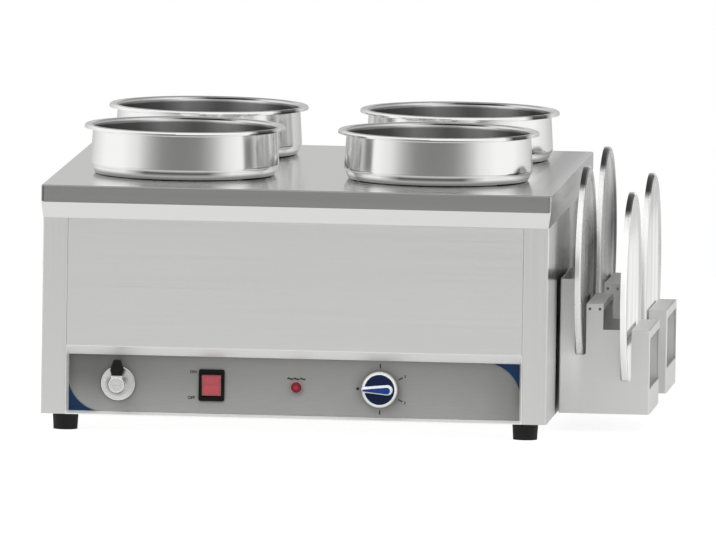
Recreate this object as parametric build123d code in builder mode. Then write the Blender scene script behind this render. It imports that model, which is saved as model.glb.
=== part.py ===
from build123d import *
from math import cos, radians, sin, sqrt
import os

os.makedirs("parts", exist_ok=True)

# Four-pot sauce bain marie with a lid rack on its right side.
# Millimetres: X to the right, Y to the back, Z up from the counter.

# Pots, measured from the deck they hang in
pot_pitch_x = 254.0
pot_pitch_y = 255.0
pot_body_r = 86.0
pot_deep = 140.0
pot_wall = 1.0
pot_seat_w = 3.5
pot_bulge = 4.8
pot_bulge_h = 10.0
pot_neck_in = 2.4
pot_flange = 7.6
pot_rim_h = 49.0
pot_roll = 2.6
pot_base_round = 14.0
pot_seat_round = 2.0
pot_bulge_round = 6.0
pot_neck_round = 4.0
pot_rim_round = 1.2
pot_hole_gap = 0.8

# Deck and cabinet of folded sheet
deck_margin_x = 26.5
deck_margin_front = 69.0
deck_margin_rear = 13.0
deck_t = 1.5
deck_corner = 3.0
deck_edge = 1.2
lip_h = 17.0
band_h = 15.5
band_in = 2.2
sheet = 1.2
bend_r = 1.7
seam = 0.2
column_w = 24.0
fold_w = 12.0
base_t = 1.5
foot_h = 17.0
vent_len = 40.0
vent_w = 5.0
rear_vent_pitch_x = 60.0
rear_vent_pitch_y = 12.0
base_vent_pitch_x = 60.0
base_vent_pitch_y = 40.0

# Recessed control panel in the lower front
open_h = 69.0
bevel_top = 9.7
bevel_low = 3.0
bevel_side = 3.1
bevel_edge = 0.8
recess = 8.0
panel_t = 1.5
panel_lap = 6.0
film_t = 0.4
film_gap = 0.2
accent_r = 35.0
accent_line = 1.0

# Water tank and the heater under it
tank_t = 1.2
tank_gap = 5.0
tank_corner = 18.0
tank_round = 8.0
tank_flange = 5.0
tank_drop = 4.0
water_under = 21.8
heater_tube_r = 4.25
heater_run = 340.0
heater_step = 100.0
heater_bend = 40.0
heater_lead = 20.0
heater_gap = 0.2
insulator_len = 12.0
terminal_pin_r = 2.0
clamp_rows = (-110.0, 20.0, 140.0)
clamp_w = 18.0
clamp_t = 2.0
clamp_over = 40.0
clamp_stud_r = 2.5
clamp_nut_af = 8.0
clamp_nut_t = 4.0

# Places of the controls from the window's ends, and of the lamp from its middle
drain_in = 49.1
switch_in = 142.3
lamp_off = 2.2
knob_in = 138.9

# Drain valve and its lever
valve_r = 17.0
valve_half_h = 17.0
valve_neck_r = 9.0
valve_thread_r = 7.0
valve_reach = 31.0
ball_r = 11.0
ball_gap = 0.3
ball_bore_r = 6.0
ball_slot_w = 4.0
ball_slot_h = 12.0
ball_slot_deep = 3.0
tang_gap = 0.05
pipe_wall = 3.0
stem_r = 4.0
running_gap = 0.05
rosette_r = 17.2
rosette_t = 2.5
lever_gap = 0.5
lever_hub_r = 8.0
lever_hub_len = 17.0
lever_neck_w = 11.5
lever_neck_deep = 9.0
lever_neck_h = 8.8
lever_neck_set = 2.0
lever_hub_round = 1.5
lever_pin_r = 2.5
lever_pin_len = 10.0
lever_screw_r = 4.6
lever_screw_h = 2.4
screw_slot_w = 1.2
grip_h = 16.0
grip_mid_h = 5.5
grip_round = 2.5
grip_low_w = 10.5
grip_mid_w = 13.6
grip_top_w = 7.0
grip_deep = 9.0

# Rocker switch
bezel_w = 25.6
bezel_h = 31.6
bezel_t = 2.0
bezel_round = 2.0
switch_w = 22.0
switch_h = 28.0
switch_deep = 22.0
rocker_w = 19.2
rocker_r = 11.2
rocker_gap = 0.4
rocker_angle = 20.0
rocker_front = 6.0
rocker_crown = 4.4
rocker_back = 1.5
rocker_pivot_in = 5.0
pocket_deep = 10.0
rocker_pin_r = 1.5
rocker_pin_len = 0.9
blade_w = 6.3
blade_t = 0.8
blade_len = 9.0

# Pilot lamp
lamp_r = 5.9
lamp_flange_t = 1.0
lamp_stem_r = 4.8
lamp_back_r = 6.5
lamp_back_len = 20.0
lens_h = 3.2
lens_step = 0.6

# Thermostat and its knob
thermo_w = 42.0
thermo_h = 36.0
thermo_deep = 28.0
thermo_round = 4.0
bush_r = 5.0
bush_len = 4.0
bush_nut_af = 14.0
bush_nut_t = 2.6
shaft_r = 3.0
shaft_in = 12.0
knob_r = 18.0
knob_gap = 0.8
knob_skirt_h = 6.6
knob_lip_t = 1.6
knob_ring_w = 3.0
knob_lip_w = 2.4
knob_cap_h = 6.0
knob_cap_round = 1.0
knob_cavity_r = 10.0
knob_cavity_deep = 4.5
knob_bar_taper = 12.0
knob_bar_h = 9.0
knob_bar_w = 10.5
knob_tip_w = 6.0
knob_bar_back = 13.4
knob_tip_reach = 18.0

# Feet
foot_r = 13.0
foot_low_r = 12.0
foot_in_x = 22.6
foot_in_y = 27.0
foot_screw_r = 2.5
foot_head_r = 4.5
foot_head_h = 3.0
foot_bore_r = 5.5
foot_bore_h = 8.0
foot_nut_af = 8.0
foot_nut_t = 4.0

# Lids stand on edge in the slots of the two rack brackets
lid_over_rim = 1.5
lid_wall = 1.0
lid_skirt = 6.2
lid_flange = 7.0
lid_dish = 2.4
lid_edge_round = 3.0
lid_rest_gap = 0.3
lid_spacing = 26.5
lid_lean_front = -0.6
lid_lean_rear = 1.8
rack_gap = 3.6
rack_len = 90.3
rack_depth = 126.0
rack_y = 24.0
rack_lift = 2.0
rack_back_h = 134.0
rack_tab_h = 109.6
rack_step_h = 84.0
rack_flange = 54.0
rack_screw_edge = 9.0
slot_round = 2.5
slot_in_x = 20.8
slot_in_w = 11.0
slot_in_low = 58.6
slot_out_x = 66.4
slot_out_w = 10.5
slot_out_low = 33.0
rack_tab_w = 16.9
rack_window_low = 25.0
rack_window_h = 51.0
rack_window_edge = 2.0
strap_lip = 12.0
strap_side = 7.0
strap_hole_r = 1.4
strap_hole_pitch = 10.0
strap_hole_down = 5.0
rack_screw_r = 2.5
rack_screw_z = 70.0
spacer_r = 6.0
rack_head_r = 4.5
rack_head_h = 3.0
rack_nut_af = 8.0
rack_nut_t = 4.0

# Small electrical pieces in the lower compartment
gland_in = 52.6
gland_af = 24.0
gland_bore_r = 5.0
gland_thread_r = 10.0
gland_hex_t = 6.0
gland_dome_h = 8.0
gland_nut_t = 5.0
block_w = 58.0
block_d = 22.0
block_h = 18.0
block_cells = 4
block_wall = 1.5
block_in = 137.6
block_rear_in = 60.0
cutout_r = 12.0
cutout_h = 9.0
cutout_y = 80.0
bulb_r = 3.25
bulb_len = 80.0
bulb_y = -40.0
capillary_r = 1.0
capillary_bend = 10.0
capillary_lead = 22.0
clip_w = 12.0
clip_t = 1.0
clip_bend = 1.5
clip_ear = 12.0
fit_gap = 0.1

# Sizes that follow
pot_seat_r = pot_body_r + pot_seat_w
pot_bulge_r = pot_seat_r + pot_bulge
pot_neck_r = pot_bulge_r - pot_neck_in
pot_rim_r = pot_neck_r + pot_flange + pot_wall
pot_hole_r = pot_body_r + pot_hole_gap
deck_w = pot_pitch_x + 2 * (pot_rim_r + deck_margin_x)
deck_d = pot_pitch_y + 2 * pot_rim_r + deck_margin_front + deck_margin_rear
pots_y = (deck_margin_front - deck_margin_rear) / 2
body_w = deck_w - 2 * band_in
body_d = deck_d - 2 * band_in
y_front = -body_d / 2
y_rear = body_d / 2
z_body = foot_h
z_floor = z_body + base_t
z_open = z_body + open_h
z_tank = z_open - tank_drop
deck_h = z_tank + tank_t + water_under + pot_deep
z_lip = deck_h - lip_h
z_band = z_lip - band_h
open_w = body_w - 2 * column_w
surround_w = open_w - 2 * seam
win_w = surround_w - 2 * bevel_side
win_h = open_h - bevel_top - bevel_low
win_z = z_body + bevel_low + win_h / 2
drain_x = drain_in - win_w / 2
switch_x = switch_in - win_w / 2
lamp_x = lamp_off
knob_x = win_w / 2 - knob_in
y_panel = y_front + recess
y_panel_back = y_panel + panel_t
y_film = y_panel - film_t
tank_w = body_w - 2 * (fold_w + tank_gap)
tank_d = body_d - 2 * (fold_w + tank_gap)
lid_r = pot_rim_r + lid_over_rim
rack_x = body_w / 2 + rack_gap
rack_z = z_body + rack_lift
rack_pitch = 2 * lid_r + lid_spacing
valve_y = y_panel_back + valve_reach

# The whole object's middle is the origin, so the cabinet stands left of it.
cx = -(rack_x + rack_len - deck_w / 2) / 2


def level(z):
    """Horizontal plane at a height, centred on the cabinet."""
    return Plane(origin=(cx, 0, z))


def facing(y):
    """Upright plane that looks out of the front; sketch y is height."""
    return Plane(origin=(cx, y, 0), x_dir=(1, 0, 0), z_dir=(0, -1, 0))


def beside(x):
    """Upright plane across the cabinet; sketch x is depth and sketch y is height."""
    return Plane(origin=(cx + x, 0, 0), x_dir=(0, 1, 0), z_dir=(1, 0, 0))


def save(piece, name):
    """Label a finished piece and write it."""
    piece.part.label = name
    export_step(piece.part, f"parts/{name}.step")


# Deck: a tray pressed face down, with a lip and a band that slopes in under it
with BuildPart() as top_deck:
    with BuildSketch(level(z_lip)):
        RectangleRounded(deck_w, deck_d, deck_corner)
    extrude(amount=lip_h)
    fillet(top_deck.faces().sort_by(Axis.Z)[-1].edges(), radius=deck_edge)
    with BuildSketch(level(z_band)):
        RectangleRounded(body_w, body_d, deck_corner)
    with BuildSketch(level(z_lip)):
        RectangleRounded(deck_w, deck_d, deck_corner)
    loft()
    with BuildSketch(level(z_lip)):
        Rectangle(deck_w - 2 * deck_t, deck_d - 2 * deck_t)
    extrude(amount=lip_h - deck_t, mode=Mode.SUBTRACT)
    with BuildSketch(level(z_band)):
        Rectangle(body_w - 2 * deck_t, body_d - 2 * deck_t)
    with BuildSketch(level(z_lip)):
        Rectangle(deck_w - 2 * deck_t, deck_d - 2 * deck_t)
    loft(mode=Mode.SUBTRACT)
    with BuildSketch(level(deck_h)):
        with Locations((0, pots_y)):
            with GridLocations(pot_pitch_x, pot_pitch_y, 2, 2):
                Circle(pot_hole_r)
    extrude(amount=-deck_t, mode=Mode.SUBTRACT)
save(top_deck, "top_deck")

# Side panels fold round both corners; the front fold is the column beside the panel
with BuildPart() as left_side_panel:
    with BuildSketch(level(z_body)):
        with BuildLine():
            left_fold = FilletPolyline(
                (-open_w / 2, y_front),
                (-body_w / 2, y_front),
                (-body_w / 2, y_rear),
                (-open_w / 2, y_rear),
                radius=bend_r,
            )
            offset(left_fold, amount=sheet, side=Side.RIGHT)
        make_face()
    extrude(amount=z_band - z_body)
save(left_side_panel, "left_side_panel")

rack_screw_y = [
    rack_y + row * rack_pitch / 2 + end * (rack_depth / 2 - rack_flange + rack_screw_edge)
    for row in (-1, 1)
    for end in (-1, 1)
]
rack_screw_spots = [(y, rack_z + rack_screw_z) for y in rack_screw_y]

with BuildPart() as right_side_panel:
    with BuildSketch(level(z_body)):
        with BuildLine():
            right_fold = FilletPolyline(
                (open_w / 2, y_front),
                (body_w / 2, y_front),
                (body_w / 2, y_rear),
                (open_w / 2, y_rear),
                radius=bend_r,
            )
            offset(right_fold, amount=sheet, side=Side.LEFT)
        make_face()
    extrude(amount=z_band - z_body)
    with BuildSketch(beside(body_w / 2)):
        with Locations(*rack_screw_spots):
            Circle(rack_screw_r + fit_gap)
    extrude(amount=-sheet, mode=Mode.SUBTRACT)
save(right_side_panel, "right_side_panel")

# Front panel between the columns, with its edges folded back
with BuildPart() as front_panel:
    with BuildSketch(level(z_open)):
        with BuildLine():
            front_fold = FilletPolyline(
                (-surround_w / 2, y_front + fold_w),
                (-surround_w / 2, y_front),
                (surround_w / 2, y_front),
                (surround_w / 2, y_front + fold_w),
                radius=bend_r,
            )
            offset(front_fold, amount=sheet, side=Side.LEFT)
        make_face()
    extrude(amount=z_band - z_open)
save(front_panel, "front_panel")

# Rear panel stands on the base plate, with vent slots and the gland's hole
gland_x = surround_w / 2 - gland_in
gland_z = win_z
with BuildPart() as rear_panel:
    with BuildSketch(level(z_floor)):
        with BuildLine():
            rear_fold = FilletPolyline(
                (-surround_w / 2, y_rear - fold_w),
                (-surround_w / 2, y_rear),
                (surround_w / 2, y_rear),
                (surround_w / 2, y_rear - fold_w),
                radius=bend_r,
            )
            offset(rear_fold, amount=sheet, side=Side.RIGHT)
        make_face()
    extrude(amount=z_band - z_floor)
    with BuildSketch(facing(y_rear)):
        with Locations((gland_x, gland_z)):
            Circle(gland_thread_r + fit_gap)
        with Locations((0, win_z)):
            with GridLocations(rear_vent_pitch_x, rear_vent_pitch_y, 4, 3):
                SlotOverall(vent_len, vent_w)
    extrude(amount=-sheet, both=True, mode=Mode.SUBTRACT)
save(rear_panel, "rear_panel")

# Bevelled frame that leads from the front down to the recessed panel
with BuildPart() as panel_surround:
    with BuildSketch(facing(y_front)):
        with Locations((0, z_body + open_h / 2)):
            Rectangle(surround_w, open_h)
    with BuildSketch(facing(y_panel)):
        with Locations((0, win_z)):
            Rectangle(win_w + 2 * sheet, win_h + 2 * sheet)
    loft()
    with BuildSketch(facing(y_front)):
        with Locations((0, z_body + open_h / 2)):
            Rectangle(surround_w - 2 * bevel_edge, open_h - 2 * bevel_edge)
    with BuildSketch(facing(y_panel)):
        with Locations((0, win_z)):
            Rectangle(win_w, win_h)
    loft(mode=Mode.SUBTRACT)
save(panel_surround, "panel_surround")

# Panel plate behind the frame, folded back along its foot onto the base plate
with BuildPart() as control_panel:
    with BuildSketch(beside(-win_w / 2 - panel_lap)):
        with BuildLine():
            panel_fold = FilletPolyline(
                (y_panel, win_z + win_h / 2 + panel_lap),
                (y_panel, z_floor),
                (y_panel + fold_w, z_floor),
                radius=bend_r,
            )
            offset(panel_fold, amount=panel_t, side=Side.LEFT)
        make_face()
    extrude(amount=win_w + 2 * panel_lap)
    with BuildSketch(facing(y_panel_back)):
        with Locations((drain_x, win_z)):
            Circle(valve_thread_r + fit_gap)
        with Locations((switch_x, win_z)):
            Rectangle(switch_w + 2 * fit_gap, switch_h + 2 * fit_gap)
        with Locations((lamp_x, win_z)):
            Circle(lamp_stem_r + fit_gap)
        with Locations((knob_x, win_z)):
            Circle(bush_r + fit_gap)
    extrude(amount=panel_t, mode=Mode.SUBTRACT)
save(control_panel, "control_panel")

# Grey facing film with two large rounded corners
film_w = win_w - 2 * film_gap
film_h = win_h - 2 * film_gap
low_left = (-film_w / 2, win_z - film_h / 2)
top_right = (film_w / 2, win_z + film_h / 2)
with BuildPart() as fascia_film:
    with BuildSketch(facing(y_panel)) as film_outline:
        with Locations((0, win_z)):
            Rectangle(film_w, film_h)
        with Locations((drain_x, win_z)):
            Circle(valve_thread_r + fit_gap, mode=Mode.SUBTRACT)
        with Locations((switch_x, win_z)):
            Rectangle(switch_w + 2 * fit_gap, switch_h + 2 * fit_gap, mode=Mode.SUBTRACT)
        with Locations((lamp_x, win_z)):
            Circle(lamp_stem_r + fit_gap, mode=Mode.SUBTRACT)
        with Locations((knob_x, win_z)):
            Circle(bush_r + fit_gap, mode=Mode.SUBTRACT)
        for corner in (low_left, top_right):
            fillet(film_outline.vertices().sort_by_distance(corner)[0], radius=accent_r)
    extrude(amount=film_t)
save(fascia_film, "fascia_film")


def corner_square(corner, inward):
    """Corner of the panel and the centre of the film's rounding there."""
    x, z = corner
    square = (x + inward * accent_r / 2, z + inward * accent_r / 2)
    centre = (x + inward * accent_r, z + inward * accent_r)
    return square, centre


corners = [corner_square(low_left, 1), corner_square(top_right, -1)]

# Blue corners of the facing; bare panel shows as a pale line beside the film
with BuildPart() as corner_accents:
    with BuildSketch(facing(y_panel)):
        with Locations(*[square for square, centre in corners]):
            Rectangle(accent_r, accent_r)
        with Locations(*[centre for square, centre in corners]):
            Circle(accent_r + accent_line, mode=Mode.SUBTRACT)
    extrude(amount=film_t)
save(corner_accents, "corner_accents")

# Base plate with upturned sides, vents, foot holes and the spout's hole
foot_pitch_x = body_w - 2 * foot_in_x
foot_pitch_y = body_d - 2 * foot_in_y
base_w = body_w - 2 * sheet
base_d = body_d - bend_r - recess
pipe_r = ball_bore_r + pipe_wall
with BuildPart() as base_plate:
    with BuildSketch(facing(y_rear - bend_r)):
        with BuildLine():
            base_fold = FilletPolyline(
                (-base_w / 2, z_body + fold_w),
                (-base_w / 2, z_body),
                (base_w / 2, z_body),
                (base_w / 2, z_body + fold_w),
                radius=bend_r,
            )
            offset(base_fold, amount=base_t, side=Side.LEFT)
        make_face()
    extrude(amount=base_d)
    with BuildSketch(level(z_body)):
        with GridLocations(foot_pitch_x, foot_pitch_y, 2, 2):
            Circle(foot_screw_r + fit_gap)
        with Locations((drain_x, valve_y)):
            Circle(pipe_r + fit_gap)
        with GridLocations(base_vent_pitch_x, base_vent_pitch_y, 5, 6):
            SlotOverall(vent_len, vent_w)
    extrude(amount=base_t, mode=Mode.SUBTRACT)
save(base_plate, "base_plate")

# Tapered feet, each held by a screw from below and a nut on the base plate
with BuildPart() as feet:
    with Locations(level(foot_h / 2)):
        with GridLocations(foot_pitch_x, foot_pitch_y, 2, 2):
            Cone(bottom_radius=foot_low_r, top_radius=foot_r, height=foot_h)
    with BuildSketch(level(0)):
        with GridLocations(foot_pitch_x, foot_pitch_y, 2, 2):
            Circle(foot_bore_r)
    extrude(amount=foot_bore_h, mode=Mode.SUBTRACT)
    with BuildSketch(level(foot_bore_h)):
        with GridLocations(foot_pitch_x, foot_pitch_y, 2, 2):
            Circle(foot_screw_r + fit_gap)
    extrude(amount=foot_h - foot_bore_h, mode=Mode.SUBTRACT)
save(feet, "feet")

with BuildPart() as foot_screws:
    with BuildSketch(level(foot_bore_h - foot_head_h)):
        with GridLocations(foot_pitch_x, foot_pitch_y, 2, 2):
            Circle(foot_head_r)
    extrude(amount=foot_head_h)
    with BuildSketch(level(foot_bore_h)):
        with GridLocations(foot_pitch_x, foot_pitch_y, 2, 2):
            Circle(foot_screw_r)
    extrude(amount=z_floor + foot_nut_t - foot_bore_h)
save(foot_screws, "foot_screws")

with BuildPart() as foot_nuts:
    with BuildSketch(level(z_floor)):
        with GridLocations(foot_pitch_x, foot_pitch_y, 2, 2):
            RegularPolygon(foot_nut_af / 2, 6, major_radius=False)
        with GridLocations(foot_pitch_x, foot_pitch_y, 2, 2):
            Circle(foot_screw_r + fit_gap, mode=Mode.SUBTRACT)
    extrude(amount=foot_nut_t)
save(foot_nuts, "foot_nuts")

# Water tank welded under the deck by its flange
z_deck_under = deck_h - deck_t
with BuildPart() as water_tank:
    with BuildSketch(level(z_tank)):
        RectangleRounded(tank_w, tank_d, tank_corner)
    extrude(amount=z_deck_under - z_tank)
    fillet(water_tank.faces().sort_by(Axis.Z)[0].edges(), radius=tank_round)
    offset(amount=-tank_t, openings=water_tank.faces().sort_by(Axis.Z)[-1])
    with BuildSketch(level(z_deck_under - tank_t)):
        RectangleRounded(
            tank_w + 2 * tank_flange, tank_d + 2 * tank_flange, tank_corner + tank_flange
        )
        RectangleRounded(
            tank_w - 2 * tank_t, tank_d - 2 * tank_t, tank_corner - tank_t, mode=Mode.SUBTRACT
        )
    extrude(amount=tank_t)
    with BuildSketch(level(z_tank)):
        with Locations((drain_x, valve_y)):
            Circle(ball_bore_r)
    extrude(amount=tank_t, mode=Mode.SUBTRACT)
save(water_tank, "water_tank")

# Tubular heater laid in four runs under the tank, ends to the rear
z_heater = z_tank - heater_gap - heater_tube_r
heater_front = -heater_run / 2
heater_rear = heater_run / 2
heater_end = heater_rear + heater_lead
with BuildPart() as heating_element:
    with BuildLine(level(z_heater)) as heater_line:
        FilletPolyline(
            (-1.5 * heater_step, heater_end),
            (-1.5 * heater_step, heater_front),
            (-0.5 * heater_step, heater_front),
            (-0.5 * heater_step, heater_rear),
            (0.5 * heater_step, heater_rear),
            (0.5 * heater_step, heater_front),
            (1.5 * heater_step, heater_front),
            (1.5 * heater_step, heater_end),
            radius=heater_bend,
        )
    with BuildSketch(Plane(origin=heater_line.line @ 0, z_dir=heater_line.line % 0)):
        Circle(heater_tube_r)
    sweep()
save(heating_element, "heating_element")

heater_ends = [(-1.5 * heater_step, z_heater), (1.5 * heater_step, z_heater)]
with BuildPart() as heater_terminals:
    with BuildSketch(facing(heater_end)):
        with Locations(*heater_ends):
            Circle(heater_tube_r - fit_gap)
    extrude(amount=-insulator_len)
    with BuildSketch(facing(heater_end + insulator_len)):
        with Locations(*heater_ends):
            Circle(terminal_pin_r)
    extrude(amount=-blade_len)
save(heater_terminals, "heater_terminals")

# Bars pulled up against the heater by studs on the tank
z_clamp = z_heater - heater_tube_r - heater_gap
with BuildPart() as heater_clamps:
    with BuildSketch(level(z_clamp)):
        with Locations(*[(0, y) for y in clamp_rows]):
            RectangleRounded(3 * heater_step + clamp_over, clamp_w, bend_r)
        with Locations(*[(x, y) for y in clamp_rows for x in (-heater_step, heater_step)]):
            Circle(clamp_stud_r + fit_gap, mode=Mode.SUBTRACT)
    extrude(amount=-clamp_t)
save(heater_clamps, "heater_clamps")

stud_spots = [(x, y) for y in clamp_rows for x in (-heater_step, heater_step)]
with BuildPart() as clamp_studs:
    with BuildSketch(level(z_tank)):
        with Locations(*stud_spots):
            Circle(clamp_stud_r)
    extrude(amount=-(z_tank - z_clamp + clamp_t + clamp_nut_t))
save(clamp_studs, "clamp_studs")

with BuildPart() as clamp_nuts:
    with BuildSketch(level(z_clamp - clamp_t)):
        with Locations(*stud_spots):
            RegularPolygon(clamp_nut_af / 2, 6, major_radius=False)
        with Locations(*stud_spots):
            Circle(clamp_stud_r + fit_gap, mode=Mode.SUBTRACT)
    extrude(amount=-clamp_nut_t)
save(clamp_nuts, "clamp_nuts")

# Overheat cut-out pressed to the tank's underside, with two blades
with BuildPart() as safety_cutout:
    with BuildSketch(level(z_tank)):
        with Locations((0, cutout_y)):
            Circle(cutout_r)
    extrude(amount=-cutout_h)
    with BuildSketch(level(z_tank - cutout_h)):
        with Locations((0, cutout_y)):
            with GridLocations(cutout_r, 0, 2, 1):
                Rectangle(blade_t, blade_w)
    extrude(amount=-blade_len)
save(safety_cutout, "safety_cutout")

# Thermostat bulb under the tank and the capillary that leads to the thermostat
y_thermo_back = y_panel_back + thermo_deep
y_turn = y_thermo_back + capillary_lead
z_bulb = z_tank - heater_gap - bulb_r
bulb_end = bulb_y - bulb_len / 2
with BuildPart() as capillary_sensor:
    with BuildLine() as capillary_line:
        FilletPolyline(
            (cx + knob_x, y_thermo_back, win_z),
            (cx + knob_x, y_turn, win_z),
            (cx + knob_x, y_turn, z_bulb),
            (cx, y_turn, z_bulb),
            (cx, bulb_end, z_bulb),
            radius=capillary_bend,
        )
    with BuildSketch(Plane(origin=capillary_line.line @ 0, z_dir=capillary_line.line % 0)):
        Circle(capillary_r)
    sweep()
    with BuildSketch(facing(bulb_end)):
        with Locations((0, z_bulb)):
            Circle(bulb_r)
    extrude(amount=-bulb_len)
save(capillary_sensor, "capillary_sensor")

with BuildPart() as bulb_clip:
    with BuildSketch(facing(bulb_y + clip_w / 2)):
        with BuildLine():
            clip_in = bulb_r + heater_gap
            clip_line = FilletPolyline(
                (-clip_in - clip_ear, z_tank),
                (-clip_in, z_tank),
                (-clip_in, z_bulb - clip_in),
                (clip_in, z_bulb - clip_in),
                (clip_in, z_tank),
                (clip_in + clip_ear, z_tank),
                radius=clip_bend,
            )
            offset(clip_line, amount=clip_t, side=Side.RIGHT)
        make_face()
    extrude(amount=clip_w)
save(bulb_clip, "bulb_clip")

# Drain: a ball valve with an upright water way, turned by a stem through the panel
drain_spot = (drain_x, win_z)
y_valve_front = y_film - rosette_t
with BuildPart() as drain_valve_body:
    with BuildSketch(level(win_z - valve_half_h)):
        with Locations((drain_x, valve_y)):
            Circle(valve_r)
    extrude(amount=2 * valve_half_h)
    with BuildSketch(facing(valve_y)):
        with Locations(drain_spot):
            Circle(valve_neck_r)
    extrude(amount=valve_y - y_panel_back)
    with BuildSketch(facing(y_panel_back)):
        with Locations(drain_spot):
            Circle(valve_thread_r)
    extrude(amount=y_panel_back - y_valve_front)
    with Locations((cx + drain_x, valve_y, win_z)):
        Sphere(ball_r + ball_gap, mode=Mode.SUBTRACT)
    with BuildSketch(level(win_z - valve_half_h)):
        with Locations((drain_x, valve_y)):
            Circle(ball_bore_r)
    extrude(amount=2 * valve_half_h, mode=Mode.SUBTRACT)
    with BuildSketch(facing(valve_y)):
        with Locations(drain_spot):
            Circle(stem_r + running_gap)
    extrude(amount=valve_y - y_valve_front, mode=Mode.SUBTRACT)
save(drain_valve_body, "drain_valve_body")

# Ball shown shut: its bore lies across the water way
y_slot = valve_y - ball_r + ball_slot_deep
with BuildPart() as drain_ball:
    with Locations((cx + drain_x, valve_y, win_z)):
        Sphere(ball_r)
    with BuildSketch(beside(drain_x - ball_r)):
        with Locations((valve_y, win_z)):
            Circle(ball_bore_r)
    extrude(amount=2 * ball_r, mode=Mode.SUBTRACT)
    with BuildSketch(facing(y_slot)):
        with Locations(drain_spot):
            Rectangle(ball_slot_w, ball_slot_h)
    extrude(amount=ball_slot_deep, mode=Mode.SUBTRACT)
save(drain_ball, "drain_ball")

y_hub = y_valve_front - lever_gap
y_hub_front = y_hub - lever_hub_len
y_stem_tip = y_hub_front + lever_screw_h
y_stem_end = valve_y - ball_r - ball_gap
with BuildPart() as drain_stem:
    with BuildSketch(facing(y_stem_end)):
        with Locations(drain_spot):
            Circle(stem_r)
    extrude(amount=y_stem_end - y_stem_tip)
    with BuildSketch(facing(y_slot - tang_gap)):
        with Locations(drain_spot):
            Rectangle(ball_slot_w - 2 * tang_gap, 2 * stem_r - ball_slot_w / 2)
    extrude(amount=y_slot - tang_gap - y_stem_end)
save(drain_stem, "drain_stem")

with BuildPart() as drain_pipe:
    with BuildSketch(level(win_z + valve_half_h)):
        with Locations((drain_x, valve_y)):
            Circle(pipe_r)
            Circle(ball_bore_r, mode=Mode.SUBTRACT)
    extrude(amount=z_tank - win_z - valve_half_h)
save(drain_pipe, "drain_pipe")

with BuildPart() as drain_spout:
    with BuildSketch(level(z_body)):
        with Locations((drain_x, valve_y)):
            Circle(pipe_r)
            Circle(ball_bore_r, mode=Mode.SUBTRACT)
    extrude(amount=win_z - valve_half_h - z_body)
save(drain_spout, "drain_spout")

with BuildPart() as drain_rosette:
    with BuildSketch(facing(y_film)):
        with Locations(drain_spot):
            Circle(rosette_r)
    extrude(amount=rosette_t)
    fillet(drain_rosette.faces().sort_by(Axis.Y)[0].edges(), radius=rosette_t / 2)
    with BuildSketch(facing(y_film)):
        with Locations(drain_spot):
            Circle(valve_thread_r + fit_gap)
    extrude(amount=rosette_t, mode=Mode.SUBTRACT)
save(drain_rosette, "drain_rosette")

# Lever: a hub on the stem with a short neck that carries the black grip
y_neck = y_hub_front + lever_neck_set + lever_neck_deep / 2
z_grip = win_z + lever_neck_h
with BuildPart() as drain_lever:
    with BuildSketch(facing(y_hub)):
        with Locations(drain_spot):
            Circle(lever_hub_r)
    extrude(amount=lever_hub_len)
    fillet(drain_lever.faces().sort_by(Axis.Y)[0].edges(), radius=lever_hub_round)
    with BuildSketch(level(win_z)):
        with Locations((drain_x, y_neck)):
            RectangleRounded(lever_neck_w, lever_neck_deep, bend_r)
    extrude(amount=lever_neck_h)
    with BuildSketch(level(z_grip)):
        with Locations((drain_x, y_neck)):
            Circle(lever_pin_r)
    extrude(amount=lever_pin_len)
    with BuildSketch(facing(y_hub)):
        with Locations(drain_spot):
            Circle(stem_r + tang_gap)
    extrude(amount=lever_hub_len, mode=Mode.SUBTRACT)
    with BuildSketch(facing(y_stem_tip)):
        with Locations(drain_spot):
            Circle(lever_screw_r + fit_gap)
    extrude(amount=lever_screw_h, mode=Mode.SUBTRACT)
save(drain_lever, "drain_lever")

with BuildPart() as drain_lever_screw:
    with BuildSketch(facing(y_stem_tip)):
        with Locations(drain_spot):
            Circle(lever_screw_r)
    extrude(amount=lever_screw_h)
    with BuildSketch(facing(y_hub_front)):
        with Locations(drain_spot):
            Rectangle(2 * lever_screw_r, screw_slot_w)
    extrude(amount=-lever_screw_h / 2, mode=Mode.SUBTRACT)
save(drain_lever_screw, "drain_lever_screw")

with BuildPart() as drain_lever_grip:
    with BuildSketch(level(z_grip)):
        with Locations((drain_x, y_neck)):
            RectangleRounded(grip_low_w, grip_deep, grip_round)
    with BuildSketch(level(z_grip + grip_mid_h)):
        with Locations((drain_x, y_neck)):
            RectangleRounded(grip_mid_w, grip_deep, grip_round)
    with BuildSketch(level(z_grip + grip_h)):
        with Locations((drain_x, y_neck)):
            RectangleRounded(grip_top_w, grip_deep, grip_round)
    loft(ruled=True)
    fillet(drain_lever_grip.faces().sort_by(Axis.Z)[-1].edges(), radius=grip_round / 2)
    with BuildSketch(level(z_grip)):
        with Locations((drain_x, y_neck)):
            Circle(lever_pin_r + tang_gap)
    extrude(amount=lever_pin_len, mode=Mode.SUBTRACT)
save(drain_lever_grip, "drain_lever_grip")

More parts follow.
